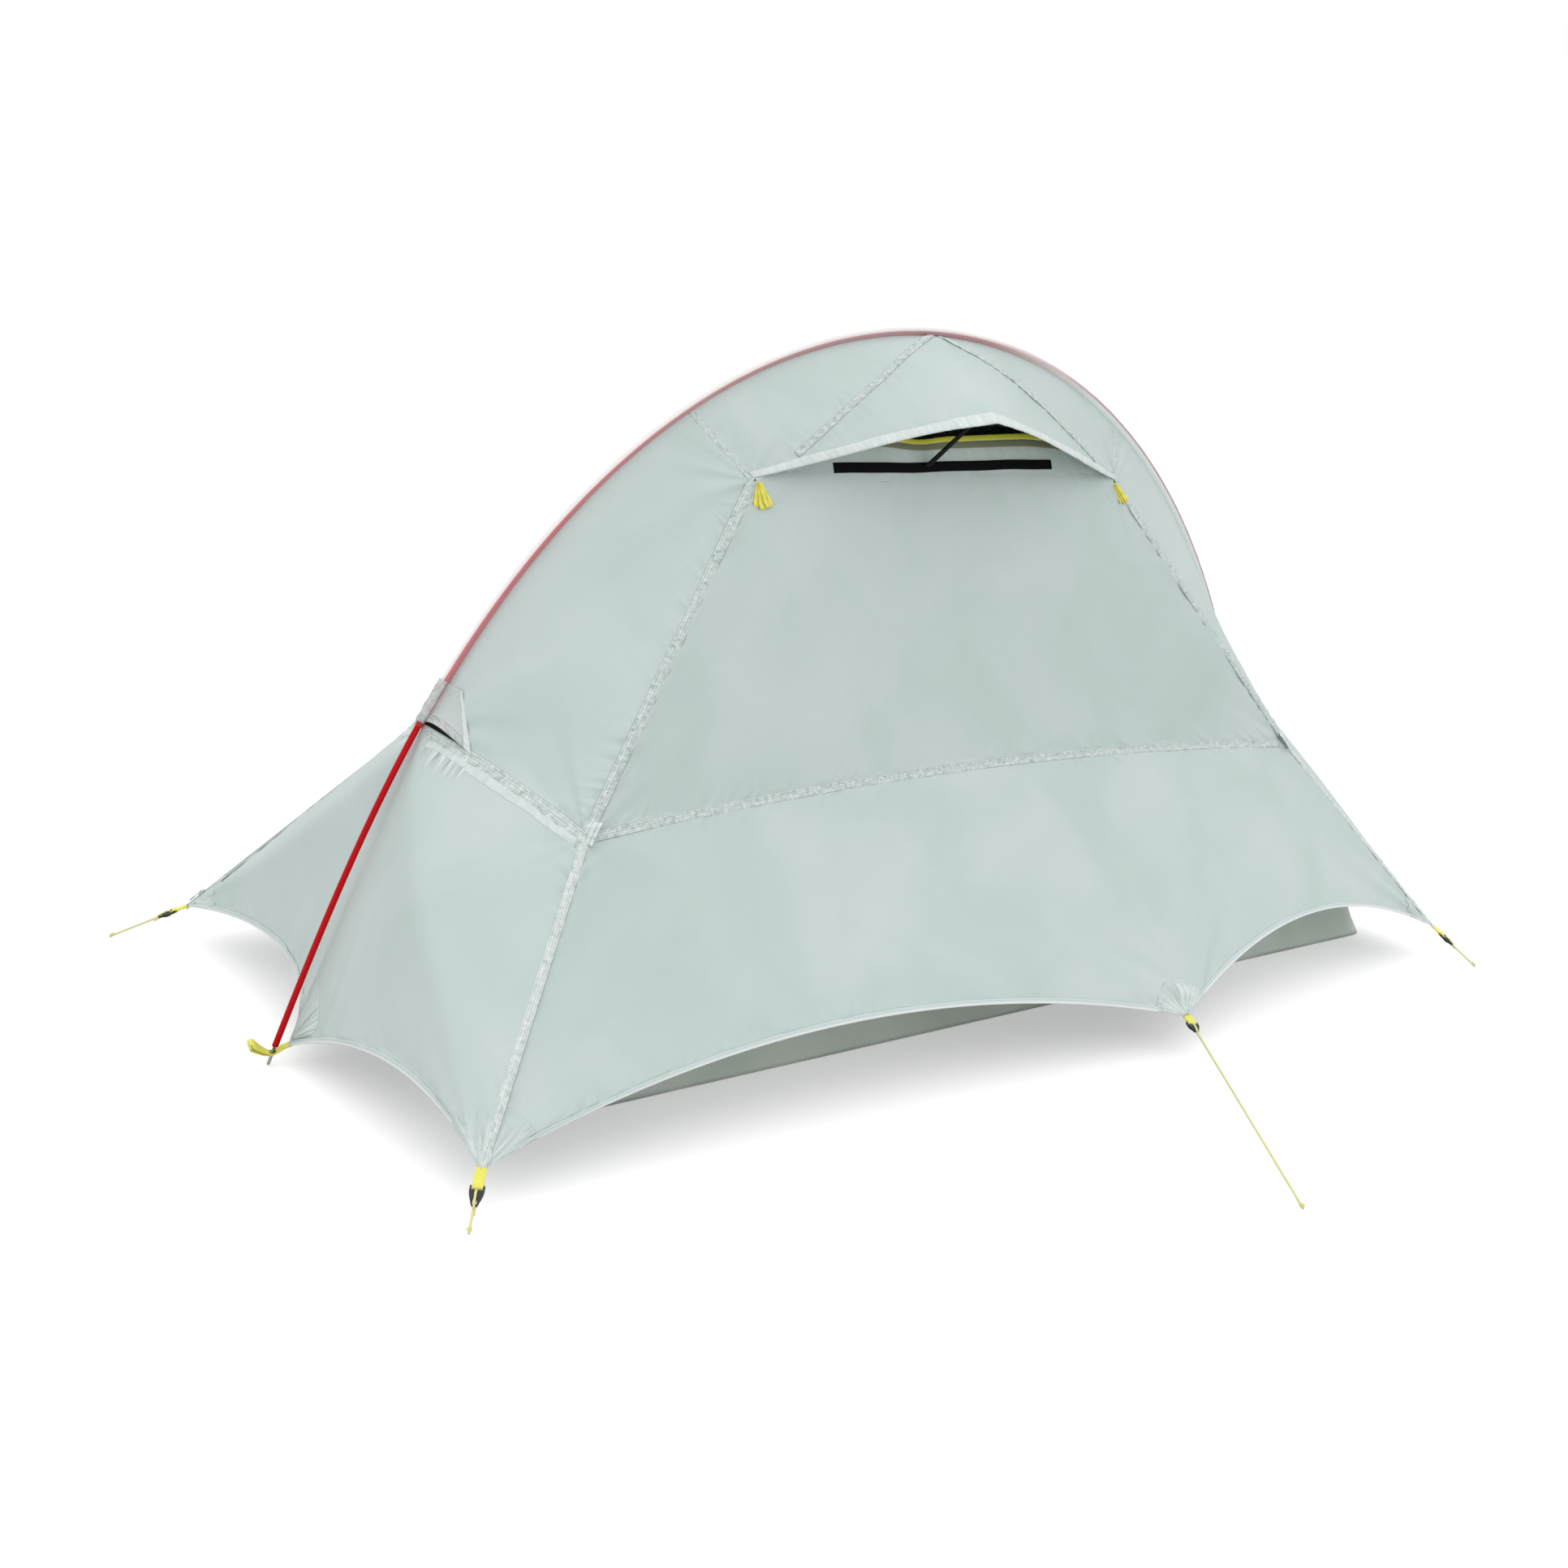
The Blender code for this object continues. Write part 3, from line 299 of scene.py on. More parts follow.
# Pole.
# Six aluminium tubes of 9 mm, anodised bright red, plug into each other over an elastic
# cord and spring into one arch. A turned tip of bare aluminium ends each side.
POLE_RISE = 1.050
POLE_END_ANGLE = 1.2074
POLE_SECTIONS = 6
POLE_RADIUS = 0.0045
JOINT_LINE = 0.0006
TIP_SHOULDER = 0.0340
ARCH_STEPS = 1920

turning = math.pi / ARCH_STEPS
angles = POLE_END_ANGLE * np.cos((np.arange(ARCH_STEPS) + 0.5) * turning)
arch_x = np.concatenate(([0], np.cumsum(np.cos(angles)))) * turning
arch_z = np.concatenate(([0], np.cumsum(np.sin(angles)))) * turning
arch_size = POLE_RISE / arch_z.max()
POLE_LENGTH = math.pi * arch_size
arch_x = (arch_x - arch_x[-1] / 2) * arch_size
arch_z = arch_z * arch_size
arch_run = np.linspace(0, POLE_LENGTH, ARCH_STEPS + 1)
ACROSS = np.array((0.0, 1.0, 0.0))


def arch_at(distance, height=0.0):
    """Points at a distance along the pole, and at a height above its centre line."""
    distance = np.asarray(distance, float)
    x = np.interp(distance, arch_run, arch_x)
    z = np.interp(distance, arch_run, arch_z)
    tilt = POLE_END_ANGLE * np.cos(distance / arch_size)
    return np.stack((x - np.sin(tilt) * height, 0 * x, z + np.cos(tilt) * height), -1)


def noise(made, scale, source="UV", **inputs):
    return texture(made, "ShaderNodeTexNoise", source, scale, inputs)


def coordinate(made, source, axis):
    seen = add_node(made, "ShaderNodeTexCoord", {}).outputs[source]
    return add_node(made, "ShaderNodeSeparateXYZ", {"Vector": seen}).outputs[axis]


POLE_COLOUR = (0.56, 0.001, 0.005)
TIP_COLOUR = (0.58, 0.58, 0.57)
pole_red = new_material("anodised_red_aluminium", POLE_COLOUR, 0.30, metallic=0.35, specular=0.22)
drawn = noise(pole_red, (60.0, 3.0, 1.0), Detail=3.0)
tinted(pole_red, drawn, (0.50, 0.0005, 0.003), (0.62, 0.002, 0.008), 0.3, 0.7)
add_bump(pole_red, drawn, 0.15, 0.0001)
bare_metal = new_material("turned_aluminium", TIP_COLOUR, 0.3, metallic=0.85)
# The tip's collar, above its pin, is red as the tube is
collar_red = ramp(bare_metal, coordinate(bare_metal, "Object", "Z"), (0.0, TIP_COLOUR), (0.0262, POLE_COLOUR),
                  interpolation="CONSTANT")
paint(bare_metal, collar_red)
add_bump(bare_metal, noise(bare_metal, (2.0, 4000.0, 1.0)), 0.3, 0.0001)

section_length = POLE_LENGTH / POLE_SECTIONS
for k in range(POLE_SECTIONS):
    low = k * section_length + JOINT_LINE / 2 if k else TIP_SHOULDER + 0.0002
    high = (k + 1) * section_length - JOINT_LINE / 2
    if k == POLE_SECTIONS - 1:
        high = POLE_LENGTH - TIP_SHOULDER - 0.0002
    stops = np.concatenate(([low, low + 0.0004], np.linspace(low + 0.012, high - 0.012, 60),
                            [high - 0.0004, high]))
    radii = np.full(len(stops), POLE_RADIUS)
    radii[[0, -1]] -= 0.0005
    add_tube(f"pole_tube_{k + 1}", arch_at(stops), radii, 24, pole_red, "tent", "pole",
             f"pole_section_{k + 1}")

# Each pair is a distance from the ground and the tip's radius there
tip_profile = ((0.0004, 0.0010), (0.0010, 0.0018), (0.0022, 0.0023), (0.0040, 0.0024),
               (0.0270, 0.0024), (0.0276, 0.0042), (0.0284, 0.0045), (0.0336, 0.0045), (0.0340, 0.0039))
for end in ("left", "right"):
    stops = np.array([at + TIP_SHOULDER * 0.02 for at, _ in tip_profile])
    if end == "right":
        stops = POLE_LENGTH - stops
    radii = [radius for _, radius in tip_profile]
    add_tube(f"pole_foot_{end}", arch_at(stops), radii, 20, bare_metal, "tent", "bare_metal",
             f"pole_tip_{end}")

elastic_black = braid_material("elastic_cord_braid", (0.01, 0.01, 0.01), (0.04, 0.04, 0.04))
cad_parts["shock_cord"].data.materials.clear()
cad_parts["shock_cord"].data.materials.append(elastic_black)


# Pole sleeve.
# A tube of thin white fabric is sewn along the ridge of the fly. The red pole shows
# through it as pink, and the spare cloth over the pole stays white.
SLEEVE_START = 0.515
SLEEVE_RADIUS = 0.0053
RIDGE_DROP = 0.0079
SLEEVE_PINK_AT_TOP = (0.60, 0.31, 0.32)
SLEEVE_PINK_AT_LEFT = (0.66, 0.20, 0.22)
SLEEVE_RED_AT_MOUTHS = (0.50, 0.02, 0.03)
SLEEVE_WHITE = (0.90, 0.855, 0.845)
# Pale cloth of the tube's lower side, painted light over its shade
SLEEVE_PALE_PAINTED_LIGHT = (0.86, 0.93, 0.91)
SLEEVE_LINE = (0.56, 0.35, 0.38)


def ranged(made, value, low, high, to_low=0.0):
    """Share that a value has reached between two bounds."""
    inputs = {"Value": value, "From Min": low, "From Max": high, "To Min": to_low}
    return add_node(made, "ShaderNodeMapRange", inputs).outputs["Result"]


def mixed(made, factor, first, second, blend="MIX"):
    """Colour between two colours, each a value or a node's output."""
    inputs = {"Factor": factor}
    for key, colour in (("A", first), ("B", second)):
        inputs[key] = (*colour, 1.0) if isinstance(colour, tuple) else colour
    return add_node(made, "ShaderNodeMix", inputs, data_type="RGBA", blend_type=blend).outputs["Result"]


def greys(*stops):
    return [(place, (shade, shade, shade)) for place, shade in stops]


sleeve_cloth = new_material("sleeve_cloth", (0.80, 0.55, 0.55), 0.5, sheen=0.15)
# u counts turns round the tube from its lower side, and the top is at one half
round_tube = coordinate(sleeve_cloth, "UV", "X")
spare_cloth = ramp(sleeve_cloth, round_tube, *greys(
    (0.0, 0.0), (0.200, 0.0), (0.235, 0.7), (0.265, 1.0),
    (0.735, 1.0), (0.765, 0.7), (0.800, 0.0), (1.0, 0.0),
))
# v counts metres from the top of the arch, and the pole shows more strongly at the left end
from_arch_top = coordinate(sleeve_cloth, "UV", "Y")
pole_shows = ranged(sleeve_cloth, from_arch_top, -0.45, -0.75)
pink = mixed(sleeve_cloth, pole_shows, SLEEVE_PINK_AT_TOP, SLEEVE_PINK_AT_LEFT)
left_half_tint = mixed(sleeve_cloth, spare_cloth, pink, SLEEVE_WHITE)
# On the right half the tube is drawn down, and the pole only shows as a line along its top. Round that line
# the cloth is painted pale, as painted light over the shade on the tube's lower side.
top_line = ramp(sleeve_cloth, round_tube, (0.205, SLEEVE_PALE_PAINTED_LIGHT), (0.250, SLEEVE_LINE), (0.750, SLEEVE_LINE),
                (0.795, SLEEVE_PALE_PAINTED_LIGHT))
whole_tint = mixed(sleeve_cloth, ranged(sleeve_cloth, from_arch_top, 0.12, 0.42), left_half_tint, top_line)
# At its two mouths the tube lies tight on the pole
sleeve_half = POLE_LENGTH / 2 - SLEEVE_START
mouth = ranged(sleeve_cloth, calculated(sleeve_cloth, "ABSOLUTE", from_arch_top), sleeve_half - 0.016,
               sleeve_half - 0.011)
paint(sleeve_cloth, mixed(sleeve_cloth, mouth, whole_tint, SLEEVE_RED_AT_MOUTHS))
add_bump(sleeve_cloth, noise(sleeve_cloth, (2.0, 60.0, 1.0), Detail=4.0), 0.35, 0.0008)


def table(seed, size=8191):
    return np.random.default_rng(seed).uniform(-1, 1, size)


def ripple(x, seed):
    """Smooth wave of random height with about one bump for every two units of x."""
    x = np.asarray(x, float)
    low = np.floor(x).astype(int)
    part = x - low
    part = part * part * (3 - 2 * part)
    values = table(seed)
    return values[low % len(values)] * (1 - part) + values[(low + 1) % len(values)] * part


def bumps(x, y, seed):
    """Smooth random hills with about one for every two units of x and of y."""
    i, j = np.floor(x).astype(int), np.floor(y).astype(int)
    a, b = x - i, y - j
    a, b = a * a * (3 - 2 * a), b * b * (3 - 2 * b)
    values = table(seed)
    corner = lambda p, q: values[(p * 7349 + q * 1931) % len(values)]
    top = corner(i, j) * (1 - a) + corner(i + 1, j) * a
    bottom = corner(i, j + 1) * (1 - a) + corner(i + 1, j + 1) * a
    return top * (1 - b) + bottom * b


stops = np.linspace(SLEEVE_START, POLE_LENGTH - SLEEVE_START, 620)
around = np.linspace(0, 2 * math.pi, 29)
tilt = POLE_END_ANGLE * np.cos(stops / arch_size)
above = np.stack((-np.sin(tilt), 0 * tilt, np.cos(tilt)), -1)
swell = 1 + 0.045 * bumps(stops[:, None] / 0.011, around[None] * 1.6, 11)
swell += 0.03 * ripple(stops / 0.004, 12)[:, None]
spread = (SLEEVE_RADIUS * swell)[..., None] * (
    -np.cos(around)[None, :, None] * ACROSS + np.sin(around)[None, :, None] * above[:, None, :]
)
# Below the pole both sides run together into the ridge seam
lowness = np.clip(-np.sin(around), 0, 1)[None, :, None]
to_seam = -above[:, None, :] * (RIDGE_DROP + 0.0004) - np.cos(around)[None, :, None] * 0.0012 * ACROSS
spread = spread * (1 - lowness ** 2) + to_seam * lowness ** 2
sleeve_points = arch_at(stops)[:, None, :] + spread
sleeve_points[:, -1] = sleeve_points[:, 0]
# The pole lies against the lower side, and shows over more of the tube towards the left end
toward_end = np.abs(stops - POLE_LENGTH / 2) / sleeve_half
from_top = np.abs((around / (2 * math.pi) + 0.5) % 1 - 0.75)
at_left = (stops < POLE_LENGTH / 2).astype(float)
from_top = np.minimum(from_top, 1 - from_top)[None] + 0.16 * (at_left * toward_end ** 2)[:, None]
near_half = np.where(around / (2 * math.pi) < 0.25, -1, np.where(around / (2 * math.pi) < 0.75, 1, -1))
from_middle = (stops - POLE_LENGTH / 2)[:, None]
sleeve_uv = np.stack(np.broadcast_arrays(0.5 + near_half[None] * from_top, from_middle), -1)
add_piece("sleeve_on_pole", closed_mesh(mapped_mesh("sleeve_on_pole", sleeve_points, sleeve_uv)),
          sleeve_cloth, "tent", "sleeve_cloth", "pole_sleeve")


# Fly cloth.
# Ten panels of thin coated fabric, pale grey green, are cut to run between curved seams
# and drawn taut. Each one puckers beside its seams and creases at its corners.
BROW_CORNER = np.array((0.391, 0.080, POLE_RISE - 0.226))
HIP = np.array((0.754, 0.263, 0.377))
FOOT_EDGE = np.array((HALF_SPAN - 0.0276, 0.0, 0.023))
RIGHT_SEAM = POLE_LENGTH / 2 + 0.484
RIGHT_EXIT = POLE_LENGTH - SLEEVE_START
SIDE_GUY_SHARE = 9 / 15
CLOTH_THICKNESS = 0.0007
CORE_SHARE, CORE_HEIGHT = 0.5, 0.25
SIDES_Y = (("near", -1), ("far", 1))
SIDES_X = (("left", -1), ("right", 1))


def column(t):
    return np.asarray(t, float)[..., None]


def straight(a, b):
    return lambda t: a + (b - a) * column(t)


def bowed(a, b, bow):
    return lambda t: a + (b - a) * column(t) + np.array(bow) * (4 * column(t) * (1 - column(t)))


def peaked(a, b, rise, roundness):
    return lambda t: a + (b - a) * column(t) + np.array(rise) * (1 - np.abs(2 * column(t) - 1) ** roundness)


def flipped(curve, sx, sy):
    return lambda t: curve(t) * np.array((sx, sy, 1.0))


def mirrored(point):
    return point * np.array((-1.0, 1.0, 1.0))


def ridge(start, end):
    return lambda t: arch_at(start + (end - start) * np.asarray(t, float), -RIDGE_DROP)


def long_hem(t):
    t = np.asarray(t, float)
    left = bowed(mirrored(CORNER), SIDE_GUY, (0, -0.045, 0.077))(t / SIDE_GUY_SHARE)
    right = bowed(SIDE_GUY, CORNER, (0, -0.040, 0.086))((t - SIDE_GUY_SHARE) / (1 - SIDE_GUY_SHARE))
    return np.where(column(t) < SIDE_GUY_SHARE, left, right)


def patch(top, bottom, left, right):
    """Surface between four seams: u from left to right, v from top to bottom."""

    def at(u, v):
        u, v = np.broadcast_arrays(np.asarray(u, float), np.asarray(v, float))
        cu, cv = column(u), column(v)
        ruled = top(u) * (1 - cv) + bottom(u) * cv + left(v) * (1 - cu) + right(v) * cu
        corners_top = top(0.0) * (1 - cu) + top(1.0) * cu
        corners_bottom = bottom(0.0) * (1 - cu) + bottom(1.0) * cu
        return ruled - corners_top * (1 - cv) - corners_bottom * cv

    return at


def to_core(points):
    core = points * np.array((CORE_SHARE, 0.0, 0.0)) + np.array((0.0, 0.0, CORE_HEIGHT))
    return unit(core - points)


def drawn_in(a, b, bow):
    """Hem from a foot to a corner that runs in steeply beside the foot."""
    skewed = lambda t: column(np.clip(t, 0.0, None) ** 0.62)
    return lambda t: a + (b - a) * column(t) + np.array(bow) * (4 * skewed(t) * (1 - skewed(t)))


RIDGE_SEAM = ridge(RIGHT_SEAM, RIGHT_SEAM)(0.0)
RIDGE_EXIT = ridge(RIGHT_EXIT, RIGHT_EXIT)(0.0)
HIP_SEAM = bowed(mirrored(HIP), HIP, (0, -0.020, 0.026))
BROW_CHORD = straight(mirrored(BROW_CORNER), BROW_CORNER)
BROW_SIDE = straight(RIDGE_SEAM, BROW_CORNER)
LIP_END = BROW_CORNER + unit(RIDGE_SEAM - BROW_CORNER) * 0.005
BROW_LIP = peaked(mirrored(LIP_END), LIP_END, (0, 0.081, 0.109), 1.18)
BROW_EDGE = straight(RIDGE_SEAM, LIP_END)
DOOR_SIDE = straight(BROW_CORNER, HIP)
SHOULDER_SEAM = bowed(RIDGE_EXIT, HIP, (0, 0.004, 0.006))
CORNER_SEAM = straight(HIP, CORNER)
END_HEMS = {
    "near": bowed(FOOT_EDGE, CORNER, (-0.012, 0, 0.056)),
    "far": drawn_in(FOOT_EDGE, CORNER, (-0.048, 0, 0.064)),
}
END_MIDDLE = straight(RIDGE_EXIT, FOOT_EDGE)
END_CREASE = 0.054
CREASE_ROUNDING = 0.0025


def side_surface(sx, sy):
    return patch(
        flipped(ridge(RIGHT_SEAM, RIGHT_EXIT), sx, sy),
        flipped(DOOR_SIDE, sx, sy),
        flipped(BROW_SIDE, sx, sy),
        flipped(SHOULDER_SEAM, sx, sy),
    )


def brow_surface(sy):
    return patch(
        ridge(POLE_LENGTH - RIGHT_SEAM, RIGHT_SEAM),
        flipped(BROW_LIP, 1, sy),
        flipped(BROW_EDGE, -1, sy),
        flipped(BROW_EDGE, 1, sy),
    )


def wall_surface(sy):
    return patch(
        flipped(BROW_CHORD, 1, sy),
        flipped(HIP_SEAM, 1, sy),
        flipped(DOOR_SIDE, -1, sy),
        flipped(DOOR_SIDE, 1, sy),
    )


def skirt_surface(sy):
    turn = -sy
    return patch(
        flipped(HIP_SEAM, turn, sy),
        flipped(long_hem, turn, sy),
        flipped(CORNER_SEAM, -turn, sy),
        flipped(CORNER_SEAM, turn, sy),
    )


def end_surface(sx, side, sy):
    flat = patch(
        flipped(SHOULDER_SEAM, sx, sy),
        flipped(END_HEMS[side], sx, sy),
        flipped(END_MIDDLE, sx, sy),
        flipped(CORNER_SEAM, sx, sy),
    )

    def at(u, v):
        u, v = np.broadcast_arrays(np.asarray(u, float), np.asarray(v, float))
        points = flat(u, v)
        # The crease from the ridge's end to the corner is rounded over a few centimetres
        near = 0.5 * (u + v - np.sqrt((u - v) ** 2 + CREASE_ROUNDING))
        far = 0.5 * (u + v + np.sqrt((u - v) ** 2 + CREASE_ROUNDING))
        lift = 4 * END_CREASE * np.maximum(near, 0) * (1 - np.minimum(far, 1))
        return points - to_core(points) * column(lift)

    return at


def crowded(count, pull):
    """Shares from 0 to 1 that stand closer together towards both ends."""
    t = np.linspace(0, 1, count + 1)
    return t - pull * np.sin(2 * math.pi * t) / (2 * math.pi)


def measured(points):
    """Distances across and down a grid of points, from its left and top edges."""
    across = np.linalg.norm(np.diff(points, axis=1), axis=2)
    down = np.linalg.norm(np.diff(points, axis=0), axis=2)
    s = np.concatenate((np.zeros((points.shape[0], 1)), np.cumsum(across, 1)), 1)
    d = np.concatenate((np.zeros((1, points.shape[1])), np.cumsum(down, 0)), 0)
    return s, d


def normals_out(points):
    along = np.gradient(points, axis=1)
    down = np.gradient(points, axis=0)
    normal = unit(np.cross(along, down))
    flip = np.sign(-(normal * to_core(points)).sum(-1, keepdims=True))
    flip[flip == 0] = 1
    return normal * flip


def puckers(s, d, height, reach, pitch, seed):
    """Small gathers beside a stitched seam: s runs along it and d away from it."""
    sway = s + d * 0.8 * ripple(s / 0.035, seed + 1)
    wave = ripple(sway / pitch, seed) + 0.5 * ripple(sway / (pitch * 0.53), seed + 2)
    strong = 0.45 + 0.75 * np.abs(ripple(s / 0.045, seed + 3))
    length = reach * (0.8 + 0.5 * ripple(s / 0.028, seed + 4))
    start = np.clip((d - 0.0065) / 0.006, 0, 1)
    return 2.0 * height * wave * strong * start * np.exp(-np.maximum(d - 0.012, 0) / length)


def corner_creases(points, corner, towards, height, reach, count, seed):
    """Folds that fan out from a loaded corner and die away."""
    offset = points - corner
    r = np.linalg.norm(offset, axis=2)
    ahead_of = unit(towards - corner)
    normal = unit(np.cross(ahead_of, unit(points.mean((0, 1)) - corner)) + 1e-6)
    aside = np.cross(normal, ahead_of)
    angle = np.arctan2((offset * aside).sum(-1), (offset * ahead_of).sum(-1))
    fan = ripple(angle * count / (math.pi / 2) + 40, seed)
    return 1.7 * height * fan * np.clip(r / reach, 0, None) * np.exp(1 - r / reach)


fly_cloth = new_material("fly_cloth", (0.55, 0.64, 0.62), 0.48, sheen=0.12, specular=0.35)
fly_cloth.node_tree.nodes["Principled BSDF"].inputs["Sheen Roughness"].default_value = 0.4
clouds = noise(fly_cloth, (5.0, 5.0, 5.0), "Object", Detail=3.0, Distortion=0.6)
tinted(fly_cloth, clouds, (0.506, 0.606, 0.578), (0.570, 0.656, 0.642), 0.3, 0.7)
add_bump(fly_cloth, noise(fly_cloth, (28.0, 28.0, 1.0), Detail=5.0, Roughness=0.6), 0.22, 0.003)
threads = [bands(fly_cloth, (220.0, 220.0, 1.0), direction) for direction in "XY"]
weave = calculated(fly_cloth, "ADD", *threads)
add_bump(fly_cloth, weave, 0.08, 0.0002)
laid = {}


def lie_on(name, u, v, height=0.0):
    """Points on a laid panel at shares across and down it, at a height above its cloth."""
    shares_u, shares_v, points, normal = laid[name]
    u, v, height = np.broadcast_arrays(u, v, height)
    i = np.clip(np.searchsorted(shares_u, u) - 1, 0, len(shares_u) - 2)
    j = np.clip(np.searchsorted(shares_v, v) - 1, 0, len(shares_v) - 2)
    a = column((u - shares_u[i]) / (shares_u[i + 1] - shares_u[i]))
    b = column((v - shares_v[j]) / (shares_v[j + 1] - shares_v[j]))
    corners = ((j, i, (1 - a) * (1 - b)), (j, i + 1, a * (1 - b)),
               (j + 1, i, (1 - a) * b), (j + 1, i + 1, a * b))
    place = sum(points[p, q] * weight for p, q, weight in corners)
    facing = unit(sum(normal[p, q] * weight for p, q, weight in corners))
    return place + facing * column(height)


def thicken(piece, thickness):
    shell = piece.modifiers.new("thickness", "SOLIDIFY")
    shell.thickness = thickness
    shell.offset = -1.0


def outward_shell(name, points, uv, made, body, slot, thickness, *replaced):
    """Thin sheet with its given grid as the outer face, away from the tent's core."""
    mesh = mapped_mesh(name, points, np.stack(measured(points), -1) if uv is None else uv)
    facing = np.empty(len(mesh.polygons) * 3)
    middle = np.empty(len(mesh.polygons) * 3)
    mesh.polygons.foreach_get("normal", facing)
    mesh.polygons.foreach_get("center", middle)
    if (facing.reshape(-1, 3) * to_core(middle.reshape(-1, 3))).sum() > 0:
        mesh.flip_normals()
    sheet = add_piece(name, mesh, made, body, slot, *replaced)
    thicken(sheet, thickness)
    return sheet


def add_panel(name, surface, cells, gathers, creases, body, replaced, seed, broad=0.0012,
              extra=None):
    """Taut panel of the fly, with gathers along edges and creases that fan out from corners.

    A gather is (edge, height, reach, pitch). A crease is (corner, grid point that it runs
    towards, height, reach, count)."""
    columns, rows = cells
    u = crowded(columns, 0.25)[None]
    v = crowded(rows, 0.72)[:, None]
    smooth = surface(u, v)
    s, d = measured(smooth)
    normal = normals_out(smooth)
    width, depth = s[:, -1:], d[-1:]
    near_edge = {
        "top": (s[:1] + 0 * d, d),
        "bottom": (s[-1:] + 0 * d, depth - d),
        "left": (d[:, :1] + 0 * s, s),
        "right": (d[:, -1:] + 0 * s, width - s),
    }
    lift = np.zeros(s.shape)
    for k, (edge, height, reach, pitch) in enumerate(gathers):
        lift += puckers(*near_edge[edge], height, reach, pitch, seed + 10 * k)
    held = np.minimum.reduce([near_edge[e][1] for e in near_edge])
    free = np.clip(held / 0.05, 0, 1)
    beside_seam = np.clip(held / 0.012, 0, 1)
    lift += broad * free * (bumps(s / 0.14, d / 0.16, seed + 77) + 0.4 * bumps(s / 0.05, d / 0.07, seed + 78))
    for k, (corner, toward, height, reach, count) in enumerate(creases):
        fan = corner_creases(smooth, smooth[corner], smooth[toward], height, reach, count, seed + 200 + k)
        lift += fan * beside_seam
    if extra is not None:
        lift += extra(s, d, width, depth, u, v) * beside_seam
    points = smooth + normal * lift[..., None]
    laid[name] = (u[0], v[:, 0], points, normals_out(points))
    panel = outward_shell(name, points, np.stack((s, d), -1), fly_cloth, body, "fly_cloth", CLOTH_THICKNESS,
                          *replaced)
    return panel


TOP_LEFT, TOP_RIGHT, LOW_LEFT, LOW_RIGHT = (0, 0), (0, -1), (-1, 0), (-1, -1)
for side, sy in SIDES_Y:
    for end, sx in SIDES_X:
        add_panel(
            f"upper_panel_{side}_{end}", side_surface(sx, sy), (170, 72),
            [("bottom", 0.0012, 0.020, 0.0075), ("right", 0.0011, 0.022, 0.0080),
             ("left", 0.0008, 0.013, 0.0065), ("top", 0.0004, 0.012, 0.0090)],
            [(LOW_RIGHT, TOP_LEFT, 0.0022, 0.07, 9), (LOW_LEFT, TOP_RIGHT, 0.0014, 0.05, 8),
             (TOP_RIGHT, LOW_LEFT, 0.0014, 0.06, 8)],
            "tent", [f"side_panel_{side}_{end}"], 1000 + 100 * sx + 10 * sy,
        )


def wall_folds(s, d, width, depth, u, v):
    """Soft upright folds that hang from the hook strip and from the hip seam's corners."""
    hang = 0.0013 * ripple(s / 0.045, 301) * np.exp(-d / 0.10)
    slack = 0.0016 * ripple(s / 0.11 + d * 0.8, 302) * np.sin(math.pi * np.clip(d / depth, 0, 1))
    return hang + slack


SKIRT_CELLS = (420, 54)
guy_column = round(SKIRT_CELLS[0] * SIDE_GUY_SHARE)
TOP_GUY, LOW_GUY = (0, guy_column), (-1, guy_column)
for side, sy in SIDES_Y:
    body = "door" if side == "far" else "tent"
    node = "door_panel_far" if side == "far" else "wall_panel_near"
    add_panel(
        f"wall_cloth_{side}", wall_surface(sy), (330, 62),
        [("bottom", 0.0011, 0.016, 0.0075), ("left", 0.0013, 0.022, 0.0080),
         ("right", 0.0013, 0.022, 0.0080), ("top", 0.0004, 0.010, 0.0090)],
        [(LOW_LEFT, TOP_RIGHT, 0.0018, 0.06, 9), (LOW_RIGHT, TOP_LEFT, 0.0018, 0.06, 9),
         (TOP_LEFT, LOW_RIGHT, 0.0012, 0.05, 8), (TOP_RIGHT, LOW_LEFT, 0.0012, 0.05, 8)],
        body, [node], 2000 + 10 * sy, extra=wall_folds,
    )
    add_panel(
        f"skirt_cloth_{side}", skirt_surface(sy), SKIRT_CELLS,
        [("top", 0.0009, 0.014, 0.0080), ("left", 0.0014, 0.015, 0.0085),
         ("right", 0.0014, 0.015, 0.0085), ("bottom", 0.0008, 0.012, 0.0100)],
        [(LOW_LEFT, TOP_GUY, 0.0022, 0.08, 10), (LOW_RIGHT, TOP_GUY, 0.0022, 0.08, 10),
         (LOW_GUY, TOP_GUY, 0.0022, 0.08, 8), (TOP_LEFT, LOW_GUY, 0.0006, 0.04, 9),
         (TOP_RIGHT, LOW_GUY, 0.0006, 0.04, 9)],
        body, [f"skirt_{side}"], 3000 + 10 * sy, broad=0.0016,
    )


def whole_end(sx):
    """Near and far half of an end as one panel, with the pole's line down its middle."""
    near, far = end_surface(sx, "near", -1), end_surface(sx, "far", 1)

    def at(u, v):
        u, v = np.broadcast_arrays(np.asarray(u, float), np.asarray(v, float))
        return np.where(column(u) < 0.5, near(1 - 2 * u, v), far(2 * u - 1, v))

    return at


def end_streaks(s, d, width, depth, u, v):
    """Long gathers that run down from the sleeve's end, beside the pole."""
    beside = np.exp(-(((u - 0.5) / 0.16) ** 2))
    pleats = 0.0060 * ripple((u - 0.5) * 60, 312) * np.clip((v - 0.42) / 0.58, 0, 1) ** 1.5
    near_foot = np.exp(-(((u - 0.5) / 0.13) ** 2)) * np.clip((1 - v) / 0.03, 0, 1)
    return 0.0034 * ripple(s / 0.008, 311) * beside * np.exp(-d / 0.045) + pleats * near_foot


